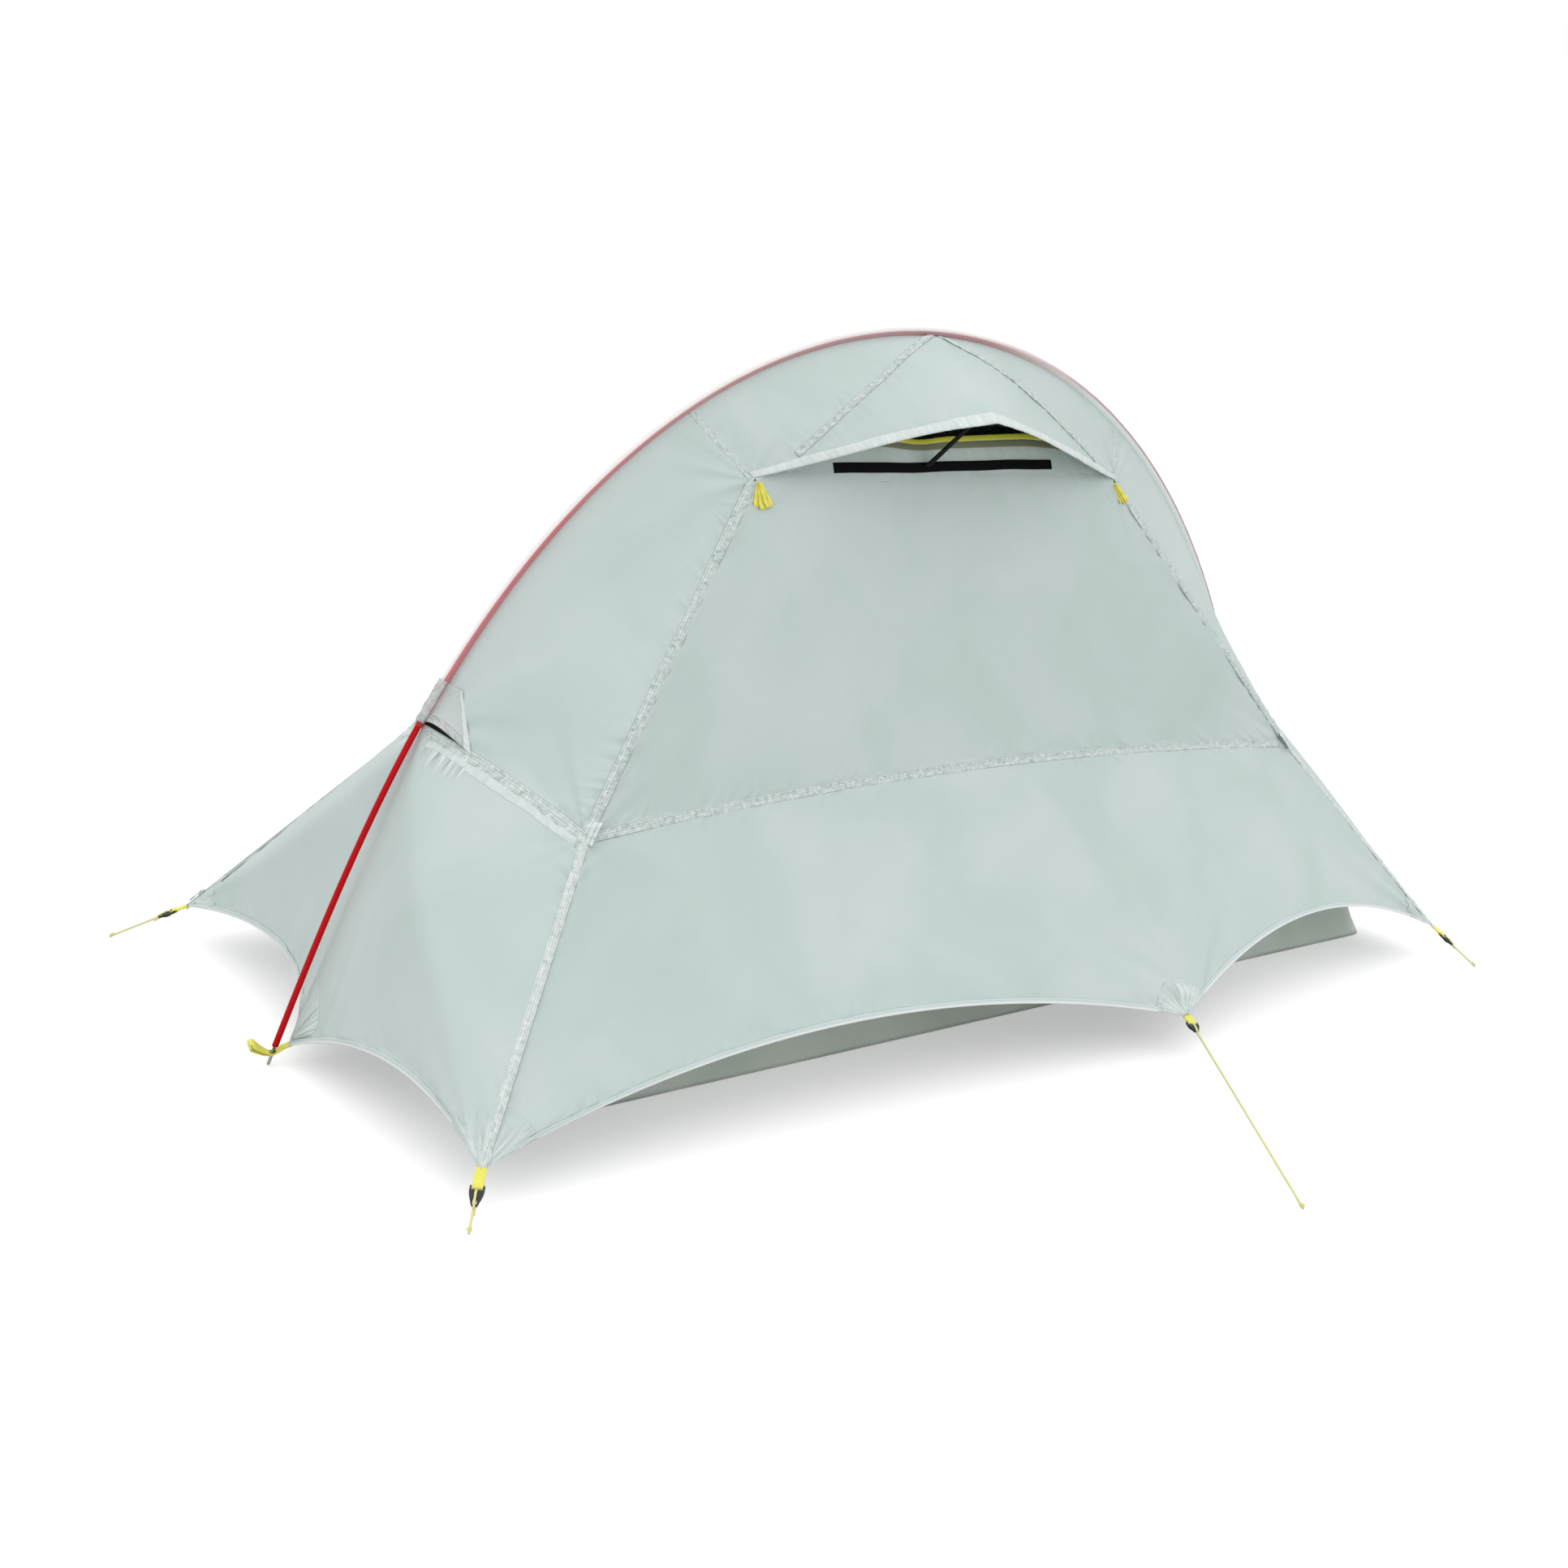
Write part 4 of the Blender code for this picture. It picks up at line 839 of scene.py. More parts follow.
TOP_POLE, LOW_POLE = (0, 130), (-1, 130)
for end, sx in SIDES_X:
    add_panel(
        f"end_cloth_{end}", whole_end(sx), (260, 64),
        [("top", 0.0011, 0.018, 0.0080), ("left", 0.0013, 0.015, 0.0085),
         ("right", 0.0013, 0.015, 0.0085), ("bottom", 0.0008, 0.012, 0.0100)],
        [(LOW_LEFT, TOP_POLE, 0.0022, 0.07, 9), (LOW_RIGHT, TOP_POLE, 0.0022, 0.07, 9),
         (TOP_LEFT, LOW_POLE, 0.0005, 0.04, 9), (TOP_RIGHT, LOW_POLE, 0.0005, 0.04, 9)],
        "tent", [f"end_panel_{end}"], 4000 + 10 * sx, extra=end_streaks,
    )


# Brows.
# A three-piece cape on each side of the ridge roofs the vent. Two seams fall from the top
# of the arch towards its lower corners, and the lip is doubled and stitched.
BROW_SEAMS = (((0.50, 0.0), (0.335, 0.42), (0.10, 0.90)), ((0.50, 0.0), (0.70, 0.50), (0.90, 0.90)))


def brow_seam_line(k, count=120):
    """Shares across and down the brow along one of its two seams, from the ridge down."""
    knots = np.array(BROW_SEAMS[k])
    t = np.linspace(0, 2, count)
    return np.interp(t, (0, 1, 2), knots[:, 0]), np.interp(t, (0, 1, 2), knots[:, 1])


def brow_form(sy):
    surface = brow_surface(sy)
    lines = [surface(*brow_seam_line(k)) for k in range(2)]

    def shape(s, d, width, depth, u, v):
        points = surface(u, v)
        lift = np.zeros(s.shape)
        for k, line in enumerate(lines):
            gap = np.linalg.norm(points[:, :, None] - line[None, None], axis=3)
            nearest = gap.min(2)
            along = gap.argmin(2) * 0.0045
            lift += 0.0035 * np.exp(-nearest / 0.030)
            lift += puckers(along, nearest, 0.0011, 0.014, 0.0075, 500 + 9 * k)
        return lift

    return shape


TOP_MIDDLE = (0, 120)
for side, sy in SIDES_Y:
    add_panel(
        f"brow_cloth_{side}", brow_surface(sy), (240, 40),
        [("bottom", 0.0007, 0.010, 0.0085), ("left", 0.0008, 0.014, 0.0070),
         ("right", 0.0008, 0.014, 0.0070), ("top", 0.0004, 0.010, 0.0090)],
        [(LOW_LEFT, TOP_MIDDLE, 0.0014, 0.05, 9), (LOW_RIGHT, TOP_MIDDLE, 0.0014, 0.05, 9)],
        "tent", [f"brow_{side}"], 5000 + 10 * sy, broad=0.0034, extra=brow_form(sy),
    )


# Seams.
# Every panel joins the next in a flat-felled seam: the edges fold into each other and two
# rows of stitches hold them, so the seam stands up as a narrow puckered band.
SEAM_RAISE = 0.0010
SEAM_STEP = 0.0013
STITCH_ROW = 0.54


def away(surface, edge):
    """Direction from an edge of a panel into the panel, at shares along that edge."""
    step = 0.01

    def at(t):
        t = np.asarray(t, float)
        zero = 0 * t
        inside, border = {
            "top": ((t, zero + step), (t, zero)),
            "bottom": ((t, zero + 1 - step), (t, zero + 1)),
            "left": ((zero + step, t), (zero, t)),
            "right": ((zero + 1 - step, t), (zero + 1, t)),
        }[edge]
        return unit(surface(*inside) - surface(*border))

    return at


def squared(vectors, run):
    return unit(vectors - run * (vectors * run).sum(-1, keepdims=True))


# Painted shade along the borders of every stitched band
BAND_BORDER_SHADE = (0.52, 0.55, 0.54)


def sewn_band_cloth(name, *colours):
    """Crumpled cloth of a stitched band, with painted shade in its creases, in its stitch rows and along its
    borders, and painted highlight on its crests, from its darkest to its palest colour.
    """
    material = new_material(name, colours[2], 0.48, sheen=0.12)
    crumple = noise(material, (150.0, 1.8, 1.0), Detail=5.0, Roughness=0.68, Distortion=0.4)
    # Low values of the crumple paint shade into its creases, and high values paint highlight on its crests
    folds = ramp(material, crumple, *zip((0.35, 0.42, 0.52, 0.64), colours))
    # v counts from one border of the band to the other, with painted shade in the stitch rows and along the
    # borders
    stitch_row_shade = greys(
        (0.07, 1.0), (0.18, 1.0), (0.22, 0.60), (0.26, 1.0), (0.46, 1.0), (0.50, 0.62),
        (0.54, 1.0), (0.74, 1.0), (0.78, 0.60), (0.82, 1.0), (0.93, 1.0),
    )
    rows = ramp(material, coordinate(material, "UV", "Y"), (0.0, BAND_BORDER_SHADE), *stitch_row_shade,
                (1.0, BAND_BORDER_SHADE))
    paint(material, mixed(material, 1.0, folds, rows, "MULTIPLY"))
    add_bump(material, crumple, 0.6, 0.0008)
    return material


# Each band's four colours run from painted crease shade to painted highlight
seam_cloth = sewn_band_cloth("seam_cloth", (0.38, 0.47, 0.45), (0.51, 0.60, 0.58), (0.60, 0.68, 0.66),
                             (0.75, 0.81, 0.795))
corner_cloth = sewn_band_cloth("corner_seam_cloth", (0.50, 0.58, 0.56), (0.61, 0.69, 0.67),
                               (0.69, 0.76, 0.745), (0.80, 0.85, 0.84))
hood_tape = sewn_band_cloth("hood_tape", (0.33, 0.35, 0.36), (0.44, 0.47, 0.47), (0.54, 0.565, 0.565),
                            (0.68, 0.70, 0.70))
hem_cloth = new_material("hem_binding", (0.70, 0.76, 0.75), 0.55, sheen=0.12)
hem_grain = noise(hem_cloth, (160.0, 60.0, 1.0), Detail=4.0)
tinted(hem_cloth, hem_grain, (0.60, 0.68, 0.66), (0.76, 0.81, 0.80), 0.3, 0.7)
add_bump(hem_cloth, hem_grain, 0.4, 0.0006)


def length_of(line):
    return float(np.linalg.norm(np.diff(line, axis=0), axis=1).sum())


def seam_band(name, curve, run_a, run_b, half_width, body, seed, rungs=1.0, raise_by=SEAM_RAISE,
              span=(0.0, 1.0), made=None, normal_at=None):
    """Puckered band over a seam, with one half lying on each of the two panels."""
    length = length_of(curve(np.linspace(span[0], span[1], 200)))
    count = max(int(length / SEAM_STEP), 12)
    t = np.linspace(span[0], span[1], count + 1)
    points = curve(t)
    run = unit(np.gradient(points, axis=0))
    side_a, side_b = squared(run_a(t), run), squared(run_b(t), run)
    normal = squared(-to_core(points) if normal_at is None else normal_at(t), run)
    s = t * length
    a = np.linspace(-1, 1, 13)
    wide = half_width * (1 + 0.04 * ripple(s / 0.035, seed))[:, None]
    reach = wide * np.abs(a)[None]
    onto = np.where((a < 0)[None, :, None], side_a[:, None], side_b[:, None])
    pad = raise_by * (1 - np.abs(a)[None] ** 8)
    slant = s[:, None] + 0.0016 * a[None] * (1 + ripple(s / 0.02, seed + 4))[:, None]
    gather = 0.0004 * rungs * ripple(slant / 0.0060, seed + 2) * (0.5 + 0.5 * np.abs(a)[None])
    gather = gather + 0.0005 * rungs * ripple(slant / 0.0022 + 2 * a[None], seed + 3)
    stitch = -0.00045 * np.exp(-(((np.abs(a)[None] - STITCH_ROW) / 0.10) ** 2))
    height = pad + gather * (1 - np.abs(a)[None] ** 6) + stitch - 0.0001
    grid = points[:, None] + onto * reach[..., None] + normal[:, None] * height[..., None]
    uv = np.stack(np.broadcast_arrays(s[:, None], 0.5 + a[None] / 2), -1)
    return outward_shell(name, grid, uv, made or seam_cloth, body, "fly_cloth", 0.0007)


for side, sy in SIDES_Y:
    wall, skirt, brow = wall_surface(sy), skirt_surface(sy), brow_surface(sy)
    turn = -sy
    for end, sx in SIDES_X:
        panel, last = side_surface(sx, sy), end_surface(sx, side, sy)
        tag = f"{side}_{end}"
        wall_edge = "left" if sx < 0 else "right"
        skirt_edge = "left" if sx * turn < 0 else "right"
        seed = 7000 + 300 * sx + 30 * sy
        seam_band(f"seam_brow_{tag}", flipped(BROW_SIDE, sx, sy), away(panel, "left"),
                  away(brow, wall_edge), 0.0050, "tent", seed, span=(0.0, 0.975 if side == "far" else 1.0))
        seam_band(f"seam_shoulder_{tag}", flipped(SHOULDER_SEAM, sx, sy), away(panel, "right"),
                  away(last, "top"), 0.0082, "tent", seed + 1, rungs=0.7)
        if side == "far":
            continue
        seam_band(f"seam_hip_{tag}", flipped(DOOR_SIDE, sx, sy), away(panel, "bottom"),
                  away(wall, wall_edge), 0.0082, "tent", seed + 2, rungs=1.8)
        seam_band(f"seam_corner_{tag}", flipped(CORNER_SEAM, sx, sy), away(skirt, skirt_edge),
                  away(last, "right"), 0.0070, "tent", seed + 3, rungs=1.2, raise_by=0.0014,
                  made=corner_cloth)
    up_wall = away(wall, "bottom")
    seam_band(f"seam_waist_{side}", flipped(HIP_SEAM, turn, sy),
              up_wall if turn > 0 else lambda t: up_wall(1 - np.asarray(t, float)), away(skirt, "top"),
              0.0068, "door" if side == "far" else "tent", 7900 + sy)
    for k in range(2):
        seam_line = brow_seam_line(k)

        def on_cape(t, height=0.0004):
            places = np.arange(len(seam_line[0]))
            where = np.asarray(t, float) * places[-1]
            u, v = (np.interp(where, places, shares) for shares in seam_line)
            return lie_on(f"brow_cloth_{side}", u, v, height)

        def above_cape(t):
            return unit(on_cape(t, 1.0) - on_cape(t, 0.0))

        def beside(t):
            return np.cross(unit(np.gradient(on_cape(t), axis=0)), above_cape(t))

        seam_band(f"seam_cape_{side}_{k + 1}", on_cape, beside, lambda t: -beside(t), 0.0052 + 0.0016 * k,
                  "tent", 7950 + 5 * k + sy, rungs=1.8, span=(0.02, 1.0), normal_at=above_cape)


# Hems, facings and corner patches.
# A pale binding folds round every hem and round the lip of each brow, a wide facing lines
# the shoulder seams, and sewn patches of doubled cloth take the pull of the guy lines.
facing_cloth = new_material("seam_facing", (0.60, 0.68, 0.66), 0.5, sheen=0.12)
facing_grain = noise(facing_cloth, (120.0, 30.0, 1.0), Detail=3.0)
tinted(facing_cloth, facing_grain, (0.58, 0.67, 0.65), (0.69, 0.76, 0.745), 0.3, 0.7)
add_bump(facing_cloth, facing_grain, 0.3, 0.0006)
hem_edge = new_material("hem_edge", (0.60, 0.69, 0.67), 0.5, sheen=0.12)
# v counts metres round the binding, with painted shade along its upper edge and in the groove of its row of
# stitches, above its pale fold
paint(hem_edge, ramp(
    hem_edge, ranged(hem_edge, coordinate(hem_edge, "UV", "Y"), 0.0, 0.016),
    (0.0, (0.42, 0.50, 0.48)), (0.07, (0.60, 0.69, 0.665)), (0.22, (0.60, 0.69, 0.665)),
    (0.26, (0.44, 0.53, 0.51)), (0.31, (0.62, 0.70, 0.68)), (0.42, (0.64, 0.72, 0.70)),
    (0.47, (0.88, 0.92, 0.91)), (0.74, (0.88, 0.92, 0.91)), (0.80, (0.62, 0.70, 0.68)),
    (1.0, (0.62, 0.70, 0.68)),
))
add_bump(hem_edge, noise(hem_edge, (160.0, 60.0, 1.0), Detail=4.0), 0.4, 0.0006)


def depth_per_share(panel, u, v_from, v_to):
    """Depth of a laid panel per share of v, between two shares that are 0.02 apart."""
    return np.linalg.norm(lie_on(panel, u, v_to) - lie_on(panel, u, v_from), axis=-1) / 0.02


def hem_binding(name, panel, start, end, width, body, seed, drop=0.0, gather=0.00025, made=None):
    """Binding folded round the lower edge of a panel between two shares across it."""
    length = length_of(lie_on(panel, np.linspace(start, end, 200), 1.0))
    u = np.linspace(start, end, max(int(length / 0.003), 10))
    s = np.linspace(0, length, len(u))
    depth = depth_per_share(panel, u, 0.98, 1.0)
    over, under = 0.0010, -CLOTH_THICKNESS - 0.0010
    profile = ((1.0, over - 0.0005), (0.94, over), (0.70, over - 0.0003), (0.45, over), (0.2, over - 0.0002),
               (0.05, over - 0.0004), (-0.06, -0.0005), (0.05, under + 0.0004), (0.45, under),
               (1.0, under + 0.0004))
    rows = []
    along_it = 2 * np.linspace(0, 1, len(u)) - 1
    hang = drop * (1 - along_it ** 6) * (1 + 1.5 * np.exp(-((along_it / 0.20) ** 2)))
    for reach, height in profile:
        reach = (reach * (1 + hang) - hang) * width * (1 + 0.08 * ripple(s / 0.03, seed) * (reach > 0.5))
        raised = height + gather * ripple(s / 0.005, seed + 1)
        inside = lie_on(panel, u, 1 - np.maximum(reach, 0) / depth, raised)
        outside = unit(lie_on(panel, u, 1.0) - lie_on(panel, u, 0.98))
        rows.append(inside + outside * column(np.maximum(-reach, 0)))
    grid = np.array(rows).transpose(1, 0, 2)
    uv = np.stack(np.broadcast_arrays(s[:, None], np.linspace(0, 2 * width, len(profile))[None]), -1)
    mesh = mapped_mesh(name, grid, uv)
    if np.dot(np.array(mesh.polygons[0].normal), to_core(grid[0, 0])) > 0:
        mesh.flip_normals()
    thicken(add_piece(name, mesh, made or hem_edge, body, "fly_cloth"), 0.0004)


def facing_strip(name, panel, start, end, low, high, height, made, body, seed):
    """Flat strip on a laid panel between two shares across and two depths from its top."""
    length = length_of(lie_on(panel, np.linspace(start, end, 200), 0.02))
    u = np.linspace(start, end, max(int(length / 0.004), 10))
    s = np.linspace(0, length, len(u))
    depth = depth_per_share(panel, u, 0.0, 0.02)
    across = np.linspace(0, 1, 8)[None]
    reach = low + (high * (1 + 0.06 * ripple(s / 0.03, seed))[:, None] - low) * across
    rise = height * (1 - np.abs(2 * across - 1) ** 6) + 0.0001
    grid = lie_on(panel, u[:, None], reach / depth[:, None], rise)
    uv = np.stack(np.broadcast_arrays(s[:, None], reach), -1)
    outward_shell(name, grid, uv, made, body, "fly_cloth", 0.0003)


def fold_shaded_cloth(name, stretch, axis, fade_from, fade_to, low=(0.34, 0.43, 0.41), high=(0.74, 0.82, 0.80)):
    """Fly cloth in sharp folds that fade out with distance, with painted shade in their valleys and painted
    highlight on their crests.
    """
    material = new_material(name, (0.54, 0.63, 0.61), 0.5, sheen=0.12)
    folds = noise(material, stretch, Detail=2.0)
    # Low values of the folds paint shade into their valleys, and high values paint highlight on their crests
    sharp = ramp(material, folds, (0.36, low), (0.62, high))
    fade = ranged(material, coordinate(material, "UV", axis), fade_from, fade_to)
    paint(material, mixed(material, fade, sharp, (0.54, 0.63, 0.61)))
    add_bump(material, folds, 0.5, 0.002)
    return material


# The creased patch has its own colours for the painted shade and highlight of its folds
creased_cloth = fold_shaded_cloth("creased_patch_cloth", (9.0, 120.0, 1.0), "X", 0.040, 0.080,
                               (0.43, 0.52, 0.50), (0.70, 0.78, 0.76))
pleated_cloth = fold_shaded_cloth("pleated_cloth", (2.0, 150.0, 1.0), "X", 0.050, 0.088)
drawn_cloth = fold_shaded_cloth("drawn_cloth", (190.0, 8.0, 1.0), "Y", 0.022, 0.046)


def fan_patch(name, panel, corner, arms, radius, body, seed, height=0.0012):
    """Patch of doubled cloth round a loaded point, between two or more arms of the panel."""
    u0, v0 = corner
    turns = np.linspace(0, len(arms) - 1, 26 * (len(arms) - 1) + 1)
    arm_u, arm_v = (np.interp(turns, np.arange(len(arms)), [arm[k] for arm in arms]) for k in (0, 1))
    near = lie_on(panel, np.clip(u0 + 0.05 * arm_u, 0, 1), np.clip(v0 + 0.05 * arm_v, 0, 1))
    length = np.linalg.norm(near - lie_on(panel, u0, v0), axis=-1) / 0.05
    edge_wave = 1 + 0.006 * ripple(turns * 6, seed)
    r = np.linspace(0.06, 1, 44)[:, None]
    u = np.clip(u0 + arm_u[None] * radius / length[None] * r * edge_wave[None], 0, 1)
    v = np.clip(v0 + arm_v[None] * radius / length[None] * r * edge_wave[None], 0, 1)
    stitched = height * (1 - 0.6 * r ** 14) - 0.0004 * np.exp(-(((r - 0.92) / 0.025) ** 2))
    stitched = stitched + 0.0016 * ripple(turns[None] * 11, seed + 1) * np.exp(-(((r - 0.92) / 0.10) ** 2))
    uv = np.stack(np.broadcast_arrays(r * radius, turns[None] * 0.05), -1)
    outward_shell(name, lie_on(panel, u, v, stitched), uv, creased_cloth, body, "fly_cloth", 0.0004)


def drawn_folds(name, panel, start, end, low, high, body):
    """Folds that hang down from the middle of the shoulder seam, sunk into the panel all round."""
    p, q = np.meshgrid(np.linspace(-1, 1, 61), np.linspace(0, 1, 25))
    u = start + (end - start) * (p + 1) / 2
    reach = low + (high - low) * q
    rise = 0.0016 * (1 - p ** 4) * (1 - q ** 2) - 0.0006
    grid = lie_on(panel, u, reach / depth_per_share(panel, u[0], 0.0, 0.02)[None], rise)
    length = np.concatenate(([0], np.cumsum(np.linalg.norm(np.diff(grid[0], axis=0), axis=1))))
    uv = np.stack(np.broadcast_arrays(length[None], reach), -1)
    outward_shell(name, grid, uv, drawn_cloth, body, "fly_cloth", 0.0002)


def foot_pleats(name, panel, corner, arms, lengths, body, seed):
    """Sharp pleats that fan out from the point where the hem is drawn to the foot strap."""
    turns = np.linspace(0, 2, 105)
    arm_u, arm_v = (np.interp(turns, (0, 1, 2), [arm[k] for arm in arms]) for k in (0, 1))
    radius = np.interp(turns, (0, 1, 2), lengths)
    near = lie_on(panel, corner[0] + 0.02 * arm_u, corner[1] + 0.02 * arm_v)
    length = np.linalg.norm(near - lie_on(panel, *corner), axis=-1) / 0.02
    r = np.linspace(0.05, 1, 50)[:, None]
    u = corner[0] + arm_u[None] * radius[None] / length[None] * r
    v = corner[1] + arm_v[None] * radius[None] / length[None] * r
    fold = np.abs((turns * 3.5 + 0.3 * ripple(turns * 3, seed)) % 1 * 2 - 1)
    height = 0.0004 + 0.0034 * fold[None] * (r ** 0.7) * (1 - r ** 3) + 0.0004 * (1 - r)
    uv = np.stack(np.broadcast_arrays(r * radius[None], turns[None] * 0.05), -1)
    outward_shell(name, lie_on(panel, u, v, height), uv, pleated_cloth, body, "fly_cloth", 0.0004)


HEM_WIDTH = 0.008
LIP_WIDTH = 0.0095
PATCH_RADIUS = 0.085
GUY_PATCH_RADIUS = 0.062
LEFT_FAN = ((0.0, -1.0), (0.5, -0.5), (1.0, 0.0))
RIGHT_FAN = ((-1.0, 0.0), (-0.5, -0.5), (0.0, -1.0))
GUY_FAN = ((-1.0, 0.0), (-0.55, -0.55), (0.0, -1.0), (0.55, -0.55), (1.0, 0.0))
for side, sy in SIDES_Y:
    body = "door" if side == "far" else "tent"
    cloth = f"skirt_cloth_{side}"
    hem_binding(f"hem_{side}_long", cloth, 0.006, SIDE_GUY_SHARE - 0.003, HEM_WIDTH, body, 8100 + sy)
    hem_binding(f"hem_{side}_short", cloth, SIDE_GUY_SHARE + 0.003, 0.994, HEM_WIDTH, body, 8110 + sy)
    hem_binding(f"lip_{side}", f"brow_cloth_{side}", 0.004, 0.996, LIP_WIDTH, "tent", 8120 + sy, drop=0.55,
                gather=0.0005, made=hem_cloth)
    fan_patch(f"patch_{side}_start", cloth, (0.0, 1.0), LEFT_FAN, PATCH_RADIUS, body, 8200)
    fan_patch(f"patch_{side}_finish", cloth, (1.0, 1.0), RIGHT_FAN, PATCH_RADIUS, body, 8210)
    fan_patch(f"patch_{side}_guy", cloth, (SIDE_GUY_SHARE, 1.0), GUY_FAN, GUY_PATCH_RADIUS, body, 8220)
for end, sx in SIDES_X:
    cloth = f"end_cloth_{end}"
    for side, start, finish in (("near", 0.008, 0.494), ("far", 0.506, 0.992)):
        hem_binding(f"hem_{side}_{end}", cloth, start, finish, HEM_WIDTH, "tent", 8300 + 7 * sx)
    foot_pleats(f"pleats_near_{end}", cloth, (0.492, 0.985), ((0.0, -1.0), (-0.35, -0.65), (-0.8, -0.15)),
                (0.095, 0.075, 0.050), "tent", 8350)
    foot_pleats(f"pleats_far_{end}", cloth, (0.508, 0.985), ((0.8, -0.15), (0.35, -0.65), (0.0, -1.0)),
                (0.050, 0.075, 0.095), "tent", 8351)
    drawn_folds(f"drawn_near_{end}", cloth, 0.335, 0.470, 0.018, 0.052, "tent")
    drawn_folds(f"drawn_far_{end}", cloth, 0.530, 0.665, 0.018, 0.052, "tent")
    facing_strip(f"facing_near_{end}", cloth, 0.02, 0.47, 0.007, 0.022, 0.0003, facing_cloth, "tent", 8310)
    facing_strip(f"facing_far_{end}", cloth, 0.53, 0.98, 0.007, 0.022, 0.0003, facing_cloth, "tent", 8320)
    fan_patch(f"patch_near_{end}", cloth, (0.0, 1.0), LEFT_FAN, PATCH_RADIUS, "tent", 8330)
    fan_patch(f"patch_far_{end}", cloth, (1.0, 1.0), RIGHT_FAN, PATCH_RADIUS, "tent", 8340)


# Vent collars.
# An upright band of the same cloth closes the lower part of each vent. Yellow tape binds its top edge, and a
# dark olive band runs below that.
COLLAR_BOW = (0, -0.028, 0.069)
COLLAR_END_SHARE = 0.006
STRIP_RISE = 0.017
STRIP_HEIGHT = 0.013
STRIP_HALF_LENGTH = 0.236
tape_yellow = new_material("yellow_binding", (0.80, 0.76, 0.05), 0.55)
ribs = bands(tape_yellow, (260.0, 260.0, 1.0), "X")
tinted(tape_yellow, ribs, (0.72, 0.68, 0.04), (0.84, 0.80, 0.06))
add_bump(tape_yellow, ribs, 0.4, 0.0003)
olive_band = new_material("dark_olive_band", (0.24, 0.25, 0.15), 0.6)
add_bump(olive_band, noise(olive_band, (300.0, 300.0, 1.0)), 0.3, 0.0004)
collar_cloth = new_material("collar_cloth", (0.66, 0.76, 0.71), 0.5, sheen=0.12)
collar_grain = noise(collar_cloth, (60.0, 12.0, 1.0), Detail=4.0)
lit_cloth = ramp(collar_cloth, collar_grain, (0.3, (0.60, 0.71, 0.655)), (0.7, (0.74, 0.81, 0.78)))
# v counts metres down from the tape, and the cloth is lighter where light shines through it
fall_off = ranged(collar_cloth, coordinate(collar_cloth, "UV", "Y"), 0.030, 0.052)
paint(collar_cloth, mixed(collar_cloth, fall_off, lit_cloth, (0.56, 0.65, 0.63)))
add_bump(collar_cloth, collar_grain, 0.3, 0.001)


def collar_at(sy):
    top = peaked(mirrored(BROW_CORNER), BROW_CORNER, COLLAR_BOW, 6.0)

    def at(u, v):
        u, v = np.broadcast_arrays(np.asarray(u, float), np.asarray(v, float))
        t = COLLAR_END_SHARE + u * (1 - 2 * COLLAR_END_SHARE)
        x = (2 * t - 1) * BROW_CORNER[0]
        # The tape sags beside the prop's foot and is drawn up towards the right
        slack = 0.007 * np.clip((x - 0.04) / 0.14, 0, 1) * np.clip((0.37 - x) / 0.12, 0, 1)
        slack = slack - 0.007 * np.exp(-(((x + 0.055) / 0.05) ** 2))
        edge = top(t) + column(slack) * np.array((0, -0.3, 1.0))
        points = edge * (1 - column(v)) + BROW_CHORD(t) * column(v)
        return points * np.array((1.0, sy, 1.0))

    return at


def collar_outward(sy):
    return unit(np.array((0.0, sy * 0.061, 0.025)))


def collar_height(sy, share):
    return np.linalg.norm(collar_at(sy)(share, 0.0) - collar_at(sy)(share, 1.0), axis=-1)


for side, sy in SIDES_Y:
    collar_name, out = f"collar_{side}", collar_outward(sy)
    u = np.linspace(0, 1, 261)[None]
    v = np.linspace(0, 1, 31)[:, None]
    band = collar_at(sy)(u, v)
    s, d = measured(band)
    rise = 0.0009 * ripple(s / 0.012, 601) * np.clip(1 - v * 1.1, 0, 1) * np.clip(v * 8, 0, 1)
    rise = rise + 0.0010 * ripple(s / 0.028 + v, 602) * np.sin(math.pi * v)
    laid[collar_name] = (u[0], v[:, 0], band + out * rise[..., None], normals_out(band))
    collar = outward_shell(collar_name, laid[collar_name][2], np.stack((s, d), -1), collar_cloth, "tent",
                           "fly_cloth", CLOTH_THICKNESS, f"vent_collar_{side}")
    part = np.linspace(0.004, 0.996, 361)
    # The lap bridges the shallow valley between the collar and the wall
    above = lie_on(collar_name, part, 1 - np.minimum(0.021 / collar_height(sy, part), 0.9), -0.0008)
    below = lie_on(f"wall_cloth_{side}", part, 0.08, -0.0012)
    valley = lie_on(collar_name, part, 1.0, 0.0025)
    lap = []
    for share in np.linspace(0, 1, 17):
        pucker = 0.0006 * ripple(part * 90 + share, 606) * 4 * share * (1 - share)
        bridge = above * (1 - share) ** 2 + valley * (2 * share * (1 - share)) + below * share ** 2
        lap.append(bridge + out * column(pucker))
    outward_shell(f"collar_lap_{side}", np.array(lap), None, fly_cloth, "tent", "fly_cloth", 0.0003)
    across = np.linspace(0, 1, 9)[:, None]
    ease = 1 - np.abs(2 * across - 1) ** 4
    for name, low, high, made, height in (("yellow", 0.0, 0.115, tape_yellow, 0.0011),
                                          ("olive", 0.125, 0.27, olive_band, 0.0005)):
        grid = lie_on(collar_name, np.linspace(0.10, 0.90, 241)[None], low + (high - low) * across,
                      0.0002 + height * ease)
        outward_shell(f"collar_{name}_{side}", grid, None, made, "tent", "fly_cloth", 0.0004)


